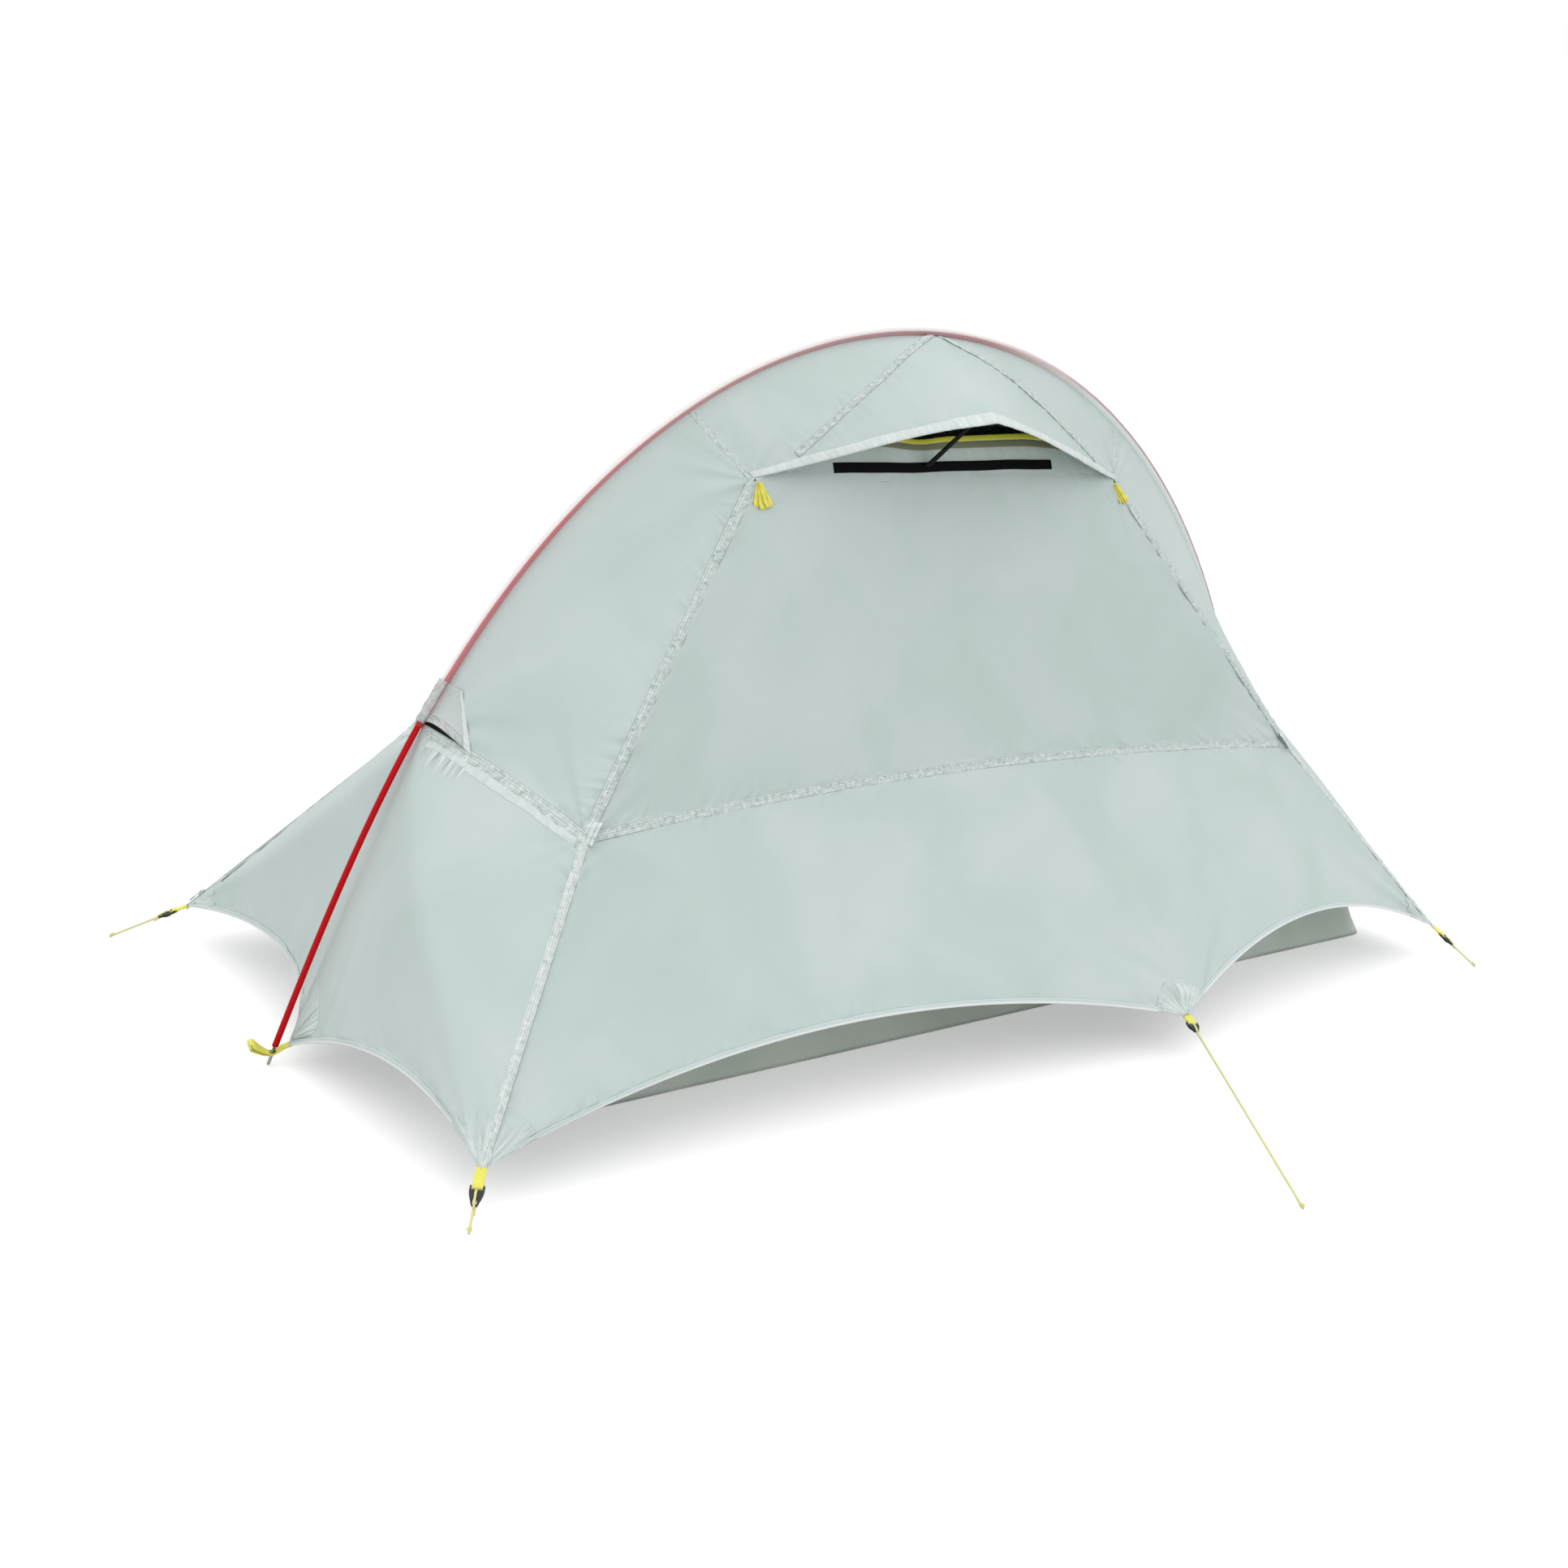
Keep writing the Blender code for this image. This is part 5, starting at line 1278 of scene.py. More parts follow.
# Hook strips and props.
# A strip of black loop tape is sewn across each collar. A short flat batten stands on it
# and holds the lip of the brow up, so that the vent stays open.
hook_black = new_material("black_hook_tape", (0.003, 0.003, 0.003), 0.95, specular=0.15)
add_bump(hook_black, noise(hook_black, (900.0, 900.0, 1.0), Detail=2.0), 0.8, 0.0006)
batten_black = new_material("black_batten", (0.004, 0.004, 0.004), 0.8, specular=0.2)
add_bump(batten_black, noise(batten_black, (500.0, 40.0, 1.0)), 0.4, 0.0004)
PROP_X = 0.047
PROP_LEAN = np.array((0.022, 0.073, 0.0823))
PROP_WIDTH = 0.012
PROP_THICKNESS = 0.0025


def flat_bar(name, path, across, width, thickness, made, body, slot, *replaced):
    """Flat strap or batten along a path, with rounded long edges and closed ends."""
    path = np.asarray(path, float)
    run = unit(np.gradient(path, axis=0))
    across = squared(np.broadcast_to(across, path.shape), run)
    width = np.broadcast_to(width, len(path))
    up = np.cross(run, across)
    half = thickness / 2
    edge = 0.6 * half
    profile = []
    for side_sign in (1, -1):
        for k in range(5):
            angle = math.pi / 2 - k * math.pi / 4
            profile.append((side_sign, edge * math.cos(angle), side_sign * half * math.sin(angle)))
    ring_points = []
    for side_sign, out, height in profile:
        reach = side_sign * (width / 2 - edge + out)
        ring_points.append(path + across * column(reach) + up * height)
    rings = np.array(ring_points).transpose(1, 0, 2)
    rings = np.concatenate((rings, rings[:, :1]), 1)
    steps = np.linalg.norm(np.diff(path, axis=0), axis=1)
    lengths = np.concatenate(([0], np.cumsum(steps)))
    girth = np.concatenate((np.linspace(0, edge, 5), np.linspace(0, edge, 5) + 2 * width[0], [4 * width[0]]))
    uv = np.stack(np.broadcast_arrays(girth[None], lengths[:, None]), -1)
    return add_piece(name, closed_mesh(mapped_mesh(name, rings, uv)), made, body, slot, *replaced)


def collar_share(x):
    """Share across the collar at a place along the tent."""
    return ((x / BROW_CORNER[0] + 1) / 2 - COLLAR_END_SHARE) / (1 - 2 * COLLAR_END_SHARE)


for side, sy in SIDES_Y:
    out = collar_outward(sy)
    x = np.linspace(-STRIP_HALF_LENGTH, STRIP_HALF_LENGTH, 161)
    share = collar_share(x)
    rows = []
    for part in np.linspace(-0.12, 1.12, 9):
        rise = STRIP_RISE + part * STRIP_HEIGHT
        lift = 0.0006 + 0.0011 * (1 - min(abs(2 * part - 1) / 1.24, 1) ** 6)
        wave = 0.0005 * ripple(x / 0.05, 620)
        rise = rise + 0.0055 * (x + PROP_X) / STRIP_HALF_LENGTH + 0.0012 * ripple(x / 0.07, 621)
        # The strip stands at one height above the chord, where the collar's own height varies
        on_collar = collar_at(sy)(share, 1 - rise / collar_height(sy, share))
        rows.append(on_collar + out * column(lift + wave + 0.0006))
    outward_shell(f"hook_strip_cloth_{side}", np.array(rows), None, hook_black, "tent", "webbing", 0.0012,
                  f"hook_strip_{side}")
    turn = -sy
    at = collar_share(-turn * PROP_X)
    foot = collar_at(sy)(at, 1 - (STRIP_RISE + STRIP_HEIGHT / 2) / collar_height(sy, at)) + out * 0.0054
    lean = PROP_LEAN * np.array((turn, sy, 1.0))
    t = np.linspace(-0.012, 1, 40)
    swell_at_foot = 0.25 * np.exp(-t / 0.06) * (t >= 0)
    wide = PROP_WIDTH * (0.82 + 0.18 * np.cos(np.clip(t, 0, 1) * math.pi * 0.5) + swell_at_foot)
    flat_bar(f"prop_batten_{side}", foot + lean * column(t), (1.0, 0.0, 0.0), wide, PROP_THICKNESS,
             batten_black, f"vent_prop_{side}", "black_plastic", f"vent_prop_{side}")


# End hoods.
# Where the sleeve stops, a small three-cornered cap of cloth covers the pole's exit and
# a net-covered slit for air. It is sewn down on its slopes and open at its lower edge.
HOOD_LENGTH = 0.072
HOOD_REACH = 0.30
hood_cloth = new_material("hood_cloth", (0.60, 0.68, 0.66), 0.48, sheen=0.12)
# The pole only shows where the loose cloth touches it, and u counts metres from the pole
touch = ramp(hood_cloth, noise(hood_cloth, (150.0, 70.0, 1.0), Detail=3.0), *greys((0.50, 0.0), (0.62, 1.0)))
beside_pole = ranged(hood_cloth, coordinate(hood_cloth, "UV", "X"), 0.014, 0.004)
blush = calculated(hood_cloth, "MULTIPLY", touch, beside_pole)
paint(hood_cloth, mixed(hood_cloth, blush, (0.54, 0.60, 0.585), (0.66, 0.30, 0.32)))
add_bump(hood_cloth, noise(hood_cloth, (90.0, 90.0, 1.0), Detail=3.0), 0.7, 0.0025)
# Solid black: the vent's net together with painted shade of the dark space behind it
slit_net_and_shade = new_material("black_vent_net_and_shade", (0.004, 0.004, 0.004), 0.9)
add_bump(slit_net_and_shade, noise(slit_net_and_shade, (1200.0, 1200.0, 1.0)), 0.6, 0.0004)


def hood_grid(sx, rows=44, arc_cells=8, reach_cells=34):
    """Points of a hood from its near border over the pole to its far border, top row first."""
    share = np.linspace(0, 1, rows + 1)
    distance = RIGHT_EXIT - HOOD_LENGTH + (HOOD_LENGTH - 0.006) * share
    centre = arch_at(distance)
    rise = unit(arch_at(distance, 1.0) - centre)
    radius = SLEEVE_RADIUS + 0.0016
    reach = HOOD_REACH * (0.30 + 0.70 * share)
    halves = []
    for sy in (-1, 1):
        half = []
        for k in range(arc_cells + 1):
            angle = math.radians(90 * k / arc_cells)
            loose = 1.10 + 0.20 * bumps(share * 13, 0 * share + k / 2.5 + 20 + 3 * sy, 645)
            ring = sy * math.sin(angle) * ACROSS + rise * math.cos(angle)
            half.append(centre + radius * column(loose) * ring)
        surface = side_surface(1, sy)
        for k in range(1, reach_cells + 1):
            part = k / reach_cells
            overhang = 0.006 + 0.0085 * math.sin(math.pi * part ** 0.62) - 0.004 * part
            lower = RIGHT_EXIT - HOOD_LENGTH + (HOOD_LENGTH - overhang) * share
            u = np.clip((lower - RIGHT_SEAM) / (RIGHT_EXIT - RIGHT_SEAM), 0, 1)
            low = surface(u, reach * part)
            ease = (1 - part) * (0.5 + 0.5 * part)
            open_edge = 0.0085 * share ** 3 * math.sin(math.pi * min(part * 1.15, 1.0) ** 0.75) ** 0.8
            lift = 0.0008 + 0.0036 * ease + open_edge
            lift = lift + 0.0009 * ripple(share * 9 + 5 * part, 640 + sy) * math.sin(math.pi * part)
            half.append(low - to_core(low) * column(lift))
        halves.append(half)
    points = np.array(halves[0][:0:-1] + halves[1]).transpose(1, 0, 2)
    return points * np.array((sx, 1.0, 1.0)), arc_cells + reach_cells


for end, sx in SIDES_X:
    points, middle = hood_grid(sx)
    outward = normals_out(points)
    s, d = measured(points)
    from_pole = np.abs(s - s[:, middle:middle + 1])
    hood = outward_shell(f"hood_{end}", points, np.stack((from_pole, d), -1), hood_cloth, "tent", "fly_cloth",
                         0.0006, f"end_hood_{end}")
    # Double-stitched band along the open edge
    across = np.linspace(0, 1, 9)[:, None]
    ease = 1 - np.abs(np.linspace(-1, 1, 9)) ** 6
    band = points[-9:] + outward[-9:] * (0.0003 + 0.0006 * ease[:, None, None])
    s, d = measured(band)
    outward_shell(f"hood_band_{end}", band, np.stack((s, 0 * d + across), -1), hood_tape, "tent", "fly_cloth",
                  0.0003)
    for side, sy in SIDES_Y:
        v = np.linspace(0.0, HOOD_REACH * 0.80, 60)[None]
        # The net fills the slit between the hood's curved edge and the seam below it. Its solid black stands
        # for the net and for painted shade in the dark space under the hood.
        gape = 0.016 * np.sin(math.pi * np.clip(v / HOOD_REACH / 0.82, 0, 1)) ** 0.7 + 0.0005
        lower = RIGHT_EXIT - 0.0065 - (gape + 0.004) * np.linspace(1, 0, 12)[:, None]
        u = (lower - RIGHT_SEAM) / (RIGHT_EXIT - RIGHT_SEAM)
        slit = side_surface(sx, sy)(u, v)
        slit = slit - to_core(slit) * 0.0016
        outward_shell(f"hood_net_{side}_{end}", slit, None, slit_net_and_shade, "tent", "net", 0.0003)
    for side, columns in (("near", slice(0, 7)), ("far", slice(-7, None))):
        border = points[:, columns]
        ease = 1 - np.abs(np.linspace(-1, 1, border.shape[1])) ** 6
        wave = 0.0005 * ripple(np.arange(border.shape[0]) * 0.9, 650)[:, None]
        height = 0.0004 + 0.0009 * ease[None] + wave * ease[None]
        outward_shell(f"hood_border_{side}_{end}", border + outward[:, columns] * height[..., None], None,
                      hem_cloth, "tent", "fly_cloth", 0.0003)


# Inner tent.
# A bathtub floor of coated grey-green cloth stands up all round and carries walls of black
# mosquito net. The net rises to a ridge that hangs from the fly by a yellow tab.
FLOOR_WALL = 0.115
FLOOR_LEAN = 0.030
FLOOR_THICKNESS = 0.0012
FLOOR_ENDS = {-1: (HALF_SPAN - 0.170, 0.312), 1: (HALF_SPAN - 0.0776, 0.350)}
FLOOR_CORNER = 0.045
INNER_RIDGE_DROP = 0.045
INNER_RIDGE_END = 0.640
WEBBING_WIDTH = 0.014
WEBBING_HALF = 0.0011
# Painted light: the tray's colour is paler than the cloth's own, so that it shows light although it stands in
# the fly's shade
floor_coated = new_material("coated_floor_cloth", (0.70, 0.78, 0.70), 0.42, sheen=0.08)
floor_clouds = noise(floor_coated, (6.0, 6.0, 6.0), "Object", Detail=3.0)
tinted(floor_coated, floor_clouds, (0.64, 0.73, 0.64), (0.76, 0.84, 0.76), 0.3, 0.7)
add_bump(floor_coated, noise(floor_coated, (40.0, 40.0, 40.0), "Object", Detail=5.0), 0.35, 0.004)
net_black = new_material("black_mosquito_net", (0.010, 0.010, 0.011), 0.85)
# The cloth is solid along its threads and nearly clear between them
threads = calculated(net_black, "MAXIMUM", *(bands(net_black, (110.0, 110.0, 1.0), way) for way in "XY"))
net_black.node_tree.links.new(ranged(net_black, threads, 0.70, 0.82, to_low=0.12),
                              net_black.node_tree.nodes["Principled BSDF"].inputs["Alpha"])


def tray_outline(inset, count=480):
    """Outline of the tray with round corners, from the middle of its right end onwards."""
    radius = FLOOR_CORNER
    corners = []
    for sx, sy, start in ((1, 1, 0), (-1, 1, 90), (-1, -1, 180), (1, -1, 270)):
        end, width = FLOOR_ENDS[sx]
        turn = np.radians(start + np.linspace(0, 90, 13))
        x = sx * (end - inset - radius) + radius * np.cos(turn)
        y = sy * (width - inset - radius) + radius * np.sin(turn)
        corners.append(np.stack((x, y), -1))
    outline = np.concatenate(corners)
    outline = np.concatenate((outline, outline[:1]))
    lengths = np.concatenate(([0], np.cumsum(np.linalg.norm(np.diff(outline, axis=0), axis=1))))
    at = np.linspace(0, lengths[-1], count + 1)
    return np.stack([np.interp(at, lengths, outline[:, k]) for k in (0, 1)], -1), at


rings = []
outline, around = tray_outline(0.0)
middle_line = np.clip(outline[:, :1], -0.60, 0.64) * np.array((1.0, 0.0))
for share in np.concatenate((np.linspace(0.02, 0.94, 13), [0.97, 0.99])):
    flat = middle_line + (outline - middle_line) * share
    height = 0.0012 + 0.0011 * bumps(flat[:, 0] / 0.05, flat[:, 1] / 0.05, 701)
    rings.append(np.concatenate((flat, height[:, None]), 1))
for share in np.linspace(0.0, 1.0, 17):
    line, _ = tray_outline(FLOOR_LEAN * (share + 0.18 * math.sin(math.pi * share)))
    sag = 0.0030 * ripple(around / 0.09, 702) + 0.0012 * ripple(around / 0.021, 703)
    z = 0.0008 + (FLOOR_WALL - 0.0008) * share + sag * share ** 2 * (1 - 0.6 * (share > 0.97))
    wobble = 0.0016 * ripple(around / 0.05 + share * 3, 704) * math.sin(math.pi * min(share * 1.2, 1))
    inward = unit(np.concatenate((-line * np.array((0.3, 1.0)), 0 * line[:, :1]), 1))
    rings.append(np.concatenate((line, z[:, None]), 1) + inward * (np.abs(wobble) + 0.0002)[:, None])
rings = np.array(rings)
rings[:, -1] = rings[:, 0]
s, d = measured(rings)
tray_mesh = mapped_mesh("floor_tray", rings, np.stack((s, d), -1))
bm = bmesh.new()
bm.from_mesh(tray_mesh)
bmesh.ops.remove_doubles(bm, verts=bm.verts, dist=1e-6)
inner_edges = [e for e in bm.edges if e.is_boundary and e.verts[0].co.z < 0.03]
bmesh.ops.holes_fill(bm, edges=inner_edges)
bmesh.ops.recalc_face_normals(bm, faces=bm.faces)
bm.to_mesh(tray_mesh)
bm.free()
floor_middle = min(tray_mesh.polygons, key=lambda face: abs(face.center.x) + abs(face.center.y))
if floor_middle.normal.z > 0:
    tray_mesh.flip_normals()
tray = add_piece("floor_tray", tray_mesh, floor_coated, "tent", "floor_cloth", "inner_floor")
thicken(tray, 0.0009)

NET_COLUMNS = 211
DOORWAY_MIDDLE = 0.02
tape_black = new_material("black_binding", (0.012, 0.012, 0.012), 0.7)
add_bump(tape_black, noise(tape_black, (400.0, 400.0, 1.0)), 0.4, 0.0005)
rim = FLOOR_LEAN + FLOOR_THICKNESS / 2
cut = FLOOR_CORNER * 0.3
left_rim, right_rim = -FLOOR_ENDS[-1][0] + rim, FLOOR_ENDS[1][0] - rim
left_width, right_width = FLOOR_ENDS[-1][1] - rim, FLOOR_ENDS[1][1] - rim
net_foot = np.array((
    (left_rim, 0.0), (left_rim, left_width - FLOOR_CORNER), (left_rim + cut, left_width - cut),
    (left_rim + FLOOR_CORNER, left_width), (right_rim - FLOOR_CORNER, right_width),
    (right_rim - cut, right_width - cut), (right_rim, right_width - FLOOR_CORNER), (right_rim, 0.0),
))
# Shares along the net's foot give the long side most of its columns
stops = np.array((0.0, 2.4, 3.0, 4.0, 17.0, 18.0, 18.6, 21.0)) / 21.0
t = np.linspace(0, 1, NET_COLUMNS)
inner_ridge = arch_at(INNER_RIDGE_END + (POLE_LENGTH - 2 * INNER_RIDGE_END) * t, -INNER_RIDGE_DROP)
for side, sy in SIDES_Y:
    base = np.stack((np.interp(t, stops, net_foot[:, 0]), sy * np.interp(t, stops, net_foot[:, 1]),
                     0 * t + FLOOR_WALL), -1)
    v = np.linspace(0, 1, 61)[:, None, None]
    net = inner_ridge[None] * (1 - v) + base[None] * v
    slack = 0.004 * np.sin(math.pi * v) * (1 + 0.5 * ripple(t * 22, 710)[None, :, None])
    net = net + to_core(net) * slack
    net[:, [0, -1], 1] = 0.0
    mesh = mapped_mesh(f"net_{side}", net, np.stack(measured(net), -1))
    if side == "far":
        bm = bmesh.new()
        bm.from_mesh(mesh)
        doorway = []
        for face in bm.faces:
            middle = face.calc_center_median()
            share = (FLOOR_WALL - middle.z) / (FLOOR_WALL - POLE_RISE + INNER_RIDGE_DROP)
            if abs(middle.x - DOORWAY_MIDDLE) < 0.36 - 0.10 * share and share < 0.66:
                doorway.append(face)
        bmesh.ops.delete(bm, geom=doorway, context="FACES")
        bm.to_mesh(mesh)
        bm.free()
    net_piece = add_piece(f"net_{side}", mesh, net_black, "tent", "net", f"inner_wall_{side}")
    thicken(net_piece, 0.0004)
    strip = [base + np.array((0.0, 0.0, height)) - to_core(base) * 0.0012
             for height in (-0.007, -0.003, 0.001, 0.005)]
    outward_shell(f"rim_binding_{side}", np.array(strip), None, tape_black, "tent", "net", 0.0006)

webbing = new_material("yellow_webbing", (0.80, 0.84, 0.14), 0.6, sheen=0.1)
webbing_ribs = bands(webbing, (1.0, 180.0, 1.0), "Y", Distortion=0.6)
tinted(webbing, webbing_ribs, (0.79, 0.76, 0.09), (0.97, 0.94, 0.19), 0.1, 0.9)
add_bump(webbing, webbing_ribs, 0.6, 0.0004)
top = POLE_RISE - RIDGE_DROP - 0.0034
low = POLE_RISE - INNER_RIDGE_DROP - 0.0017
tab_path = [(0.0, 0.0008 * math.sin(k / 19 * math.pi), low + (top - low) * k / 19) for k in range(20)]
flat_bar("ridge_tab", tab_path, (1.0, 0.0, 0.0), WEBBING_WIDTH, 2 * WEBBING_HALF, webbing, "tent", "webbing",
         "inner_hanger")


# Webbing loops and line adjusters.
# A tape folded double round the adjuster's bar is bar-tacked to each corner with a V of
# stitches. The adjuster is a moulded black ladder lock with a rounded nose.
ADJUSTER_RAIL = 0.002
ADJUSTER_THICKNESS = 0.003
TAPE_THICKNESS = 0.0009
LOOP_THREAD_RADIUS = 0.0006
plastic_black = new_material("black_nylon", (0.022, 0.023, 0.024), 0.38)
add_bump(plastic_black, noise(plastic_black, (900.0, 900.0, 900.0), "Object"), 0.2, 0.0002)
thread_dark = new_material("dark_thread", (0.09, 0.09, 0.03), 0.8)
add_bump(thread_dark, bands(thread_dark, (3.0, 900.0, 1.0), "DIAGONAL"), 0.4, 0.0002)


def folded_tape(root, along, across, reach, eye):
    """Path of a tape that runs out, turns round an eye and comes back."""
    up = np.cross(along, across)
    neck = reach - 2.0 * eye
    t = np.linspace(0, 1, 16)[:, None]
    layer = 0.00062
    apart = layer + (eye - layer) * np.clip((t - 0.75) / 0.25, 0, 1) ** 2
    out = root + along * neck * t + up * apart
    turn = np.linspace(math.radians(75), math.radians(-75), 19)[:, None]
    bend = root + along * (reach + eye * np.cos(turn)) + up * (eye * np.sin(turn))
    back = root + along * neck * t[::-1] - up * apart[::-1]
    return np.concatenate((out, bend, back))


def moulded_mesh(name, bm, rounding, origin, across, along):
    """Rounds the sharp edges of a shape and sets it down at its place, turned as it stands."""
    sharp = [e for e in bm.edges if len(e.link_faces) == 2 and e.calc_face_angle() > 0.6]
    bmesh.ops.bevel(bm, geom=sharp, offset=rounding, offset_type="OFFSET", segments=3, profile=0.5,
                    affect="EDGES", clamp_overlap=True, material=-1)
    frame_of = np.stack((across, along, np.cross(across, along)), 1)
    for vert in bm.verts:
        vert.co = Vector(origin + frame_of @ np.array(vert.co))
    mesh = bpy.data.meshes.new(name)
    bm.to_mesh(mesh)
    bm.free()
    return mesh


def adjuster_mesh(name, origin, along, across):
    """Ladder lock: a plate with a slot for the tape and a hole for the line, softened all over."""
    half_slot = WEBBING_WIDTH / 2 + CAD_GAP
    half_width = half_slot + ADJUSTER_RAIL
    xs = np.array((-half_width, -half_slot, -0.0030, 0.0030, half_slot, half_width))
    ys = np.array((-0.0015, 0.0015, 0.0036, 0.0058, 0.0100, 0.0148, 0.0185, 0.0215, 0.0245))
    bm = bmesh.new()
    bmesh.ops.create_grid(bm, x_segments=len(xs) - 1, y_segments=len(ys) - 1, size=1.0)
    columns, rows = len(xs) - 1, len(ys) - 1
    for vert in bm.verts:
        i = round((vert.co.x + 1) / 2 * columns)
        j = round((vert.co.y + 1) / 2 * rows)
        y = ys[j]
        narrow = 1.0 - 0.42 * min(max((y - 0.006) / 0.013, 0), 1) ** 1.4 - 0.25 * max((y - 0.0205) / 0.004, 0)
        x = xs[i] if abs(xs[i]) < 0.004 else xs[i] * narrow
        vert.co = (x, y, 0.0)
    windows = []
    for face in bm.faces:
        middle = face.calc_center_median()
        if abs(middle.x) < half_slot and 0.0015 < middle.y < 0.0036:
            windows.append(face)
        elif abs(middle.x) < 0.003 and 0.0148 < middle.y < 0.0215:
            windows.append(face)
    bmesh.ops.delete(bm, geom=windows, context="FACES")
    made = bmesh.ops.extrude_face_region(bm, geom=list(bm.faces))
    raised = [v for v in made["geom"] if isinstance(v, bmesh.types.BMVert)]
    bmesh.ops.translate(bm, verts=raised, vec=(0, 0, ADJUSTER_THICKNESS))
    bmesh.ops.translate(bm, verts=bm.verts, vec=(0, 0, -ADJUSTER_THICKNESS / 2))
    bmesh.ops.recalc_face_normals(bm, faces=bm.faces)
    for vert in bm.verts:
        y = vert.co.y
        swell = 0.0011 * math.exp(-(((y - 0.0130) / 0.0050) ** 2))
        swell += 0.0006 * math.exp(-(((y - 0.0235) / 0.002) ** 2))
        vert.co.z += math.copysign(swell, vert.co.z)
    return moulded_mesh(name, bm, 0.0007, origin, across, along)


# Places along the line's free end: across, along and above the adjuster, from its eye
LINE_TAIL = np.array((
    (0.0002, 0.0270, -0.0016), (0.0000, 0.0200, -0.0032), (-0.0004, 0.0110, -0.0040),
    (-0.0006, 0.0058, -0.0030), (-0.0004, 0.0044, 0.0004), (0.0000, 0.0058, 0.0036),
    (0.0004, 0.0110, 0.0046), (0.0006, 0.0160, 0.0036), (0.0006, 0.0184, 0.0006),
    (0.0008, 0.0205, -0.0010), (0.0010, 0.0250, 0.0020), (0.0012, 0.0300, 0.0022),
    (0.0014, 0.0340, 0.0022),
))
for guy, (root, eye, along, holder) in guys.items():
    across = unit(np.cross((0.0, 0.0, 1.0), along))
    up = np.cross(across, along)
    path = folded_tape(root - along * 0.003, along, across, LOOP_REACH + 0.003, 0.0024)
    flat_bar(f"corner_tape_{guy}", path, across, WEBBING_WIDTH, TAPE_THICKNESS, webbing, holder, "webbing",
             f"webbing_loop_{guy}")
    vee = [root + along * (0.0022 + 0.0042 * (1 - abs(k) / 8)) + across * (0.0045 * k / 8) + up * 0.00125
           for k in range(-8, 9)]
    add_tube(f"bar_tack_{guy}", vee, LOOP_THREAD_RADIUS, 8, thread_dark, holder, "webbing")
    add_piece(f"ladder_lock_{guy}", adjuster_mesh(f"ladder_lock_{guy}", eye, along, across), plastic_black,
              f"guy_{guy}", "black_plastic", f"line_adjuster_{guy}")
    places = np.arange(len(LINE_TAIL))
    finer = np.linspace(0, places[-1], 40)
    over = np.stack([np.interp(finer, places, LINE_TAIL[:, k]) for k in range(3)], -1)
    over[1:-1] = (over[:-2] + over[1:-1] + over[2:]) / 3
    tail = eye + across * over[:, :1] + along * over[:, 1:2] + up * over[:, 2:]
    add_tube(f"line_tail_{guy}", tail, LINE_RADIUS * 0.9, 12, line_yellow, f"guy_{guy}", "line")


# Brow loops.
# A length of the same tape is folded and sewn into the seam at each lower corner of the
# brows. Its three folded legs fan out, so that it can be found with a glove on.
brow_webbing = new_material("golden_webbing", (0.82, 0.72, 0.10), 0.6)
brow_ribs = noise(brow_webbing, (420.0, 60.0, 1.0), Detail=3.0)
tinted(brow_webbing, brow_ribs, (0.60, 0.50, 0.05), (0.90, 0.84, 0.16), 0.35, 0.6)
add_bump(brow_webbing, brow_ribs, 0.7, 0.0008)
BROW_LOOP_REACH = 0.037
# For each end: angle between the legs, lean of the whole fan and width of a leg
BROW_FANS = {"left": (0.26, 0.30, 0.0125), "right": (0.13, 0.12, 0.0085)}
for side, sy in SIDES_Y:
    for end, sx in SIDES_X:
        mirror = np.array((sx, sy, 1.0))
        low = BROW_CORNER * mirror
        along = unit(HIP * mirror - low)
        if side == "far":
            inside = side_surface(sx, sy)(0.06, 0.85) - side_surface(sx, sy)(0.06, 1.0)
        else:
            inside = np.array((-sx, 0.0, 0.0))
        inside = squared(inside, along)
        normal = np.cross(along, inside)
        normal = normal * (1 if np.dot(normal, to_core(low)) < 0 else -1)
        root = low + inside * (WEBBING_WIDTH / 2 + 0.0006) + normal * 0.0016
        tip = unit(along + normal * 0.16)
        if side == "near":
            tip = unit(0.5 * along + normal * 0.12 + np.array((0.10, 0.0, -0.50)))
        across = squared(inside, tip)
        if np.dot(np.cross(tip, across), normal) < 0:
            across = -across
        leg_angle, fan_lean, leg_width = BROW_FANS[end]
        for leg, turn in enumerate((-1.0, 0.0, 1.0)):
            lean = turn * leg_angle + fan_lean
            tip_of = unit(tip * math.cos(lean) + across * math.sin(lean))
            across_of = squared(across, tip_of)
            up_of = np.cross(tip_of, across_of)
            length = BROW_LOOP_REACH - 0.002 * abs(turn) + 0.001 * turn
            leg_root = root - along * 0.002 + up_of * (0.0022 * leg)
            path = folded_tape(leg_root, tip_of, across_of, length, 0.0019)
            part = np.linalg.norm(path - path[0], axis=1) / length
            wide = leg_width * np.clip(0.42 + 0.85 * part, 0, 1.15)
            replaced = [f"brow_loop_{side}_{end}"] if leg == 1 else []
            flat_bar(f"brow_tape_{side}_{end}" + ("_a", "", "_c")[leg], path, across_of, wide, TAPE_THICKNESS,
                     brow_webbing, "tent", "webbing", *replaced)


# Foot straps.
# A tape runs from each end hem under the pole's tip, which stands in an eyelet in it, and
# ends in a pull loop that stands open.
STRAP_WIDTH = 0.012
STRAP_HEIGHT = 0.0225
foot_place = arch_at(0.0)
foot_run = unit(arch_at(0.01) - foot_place)
pin = foot_place + foot_run * 0.0185
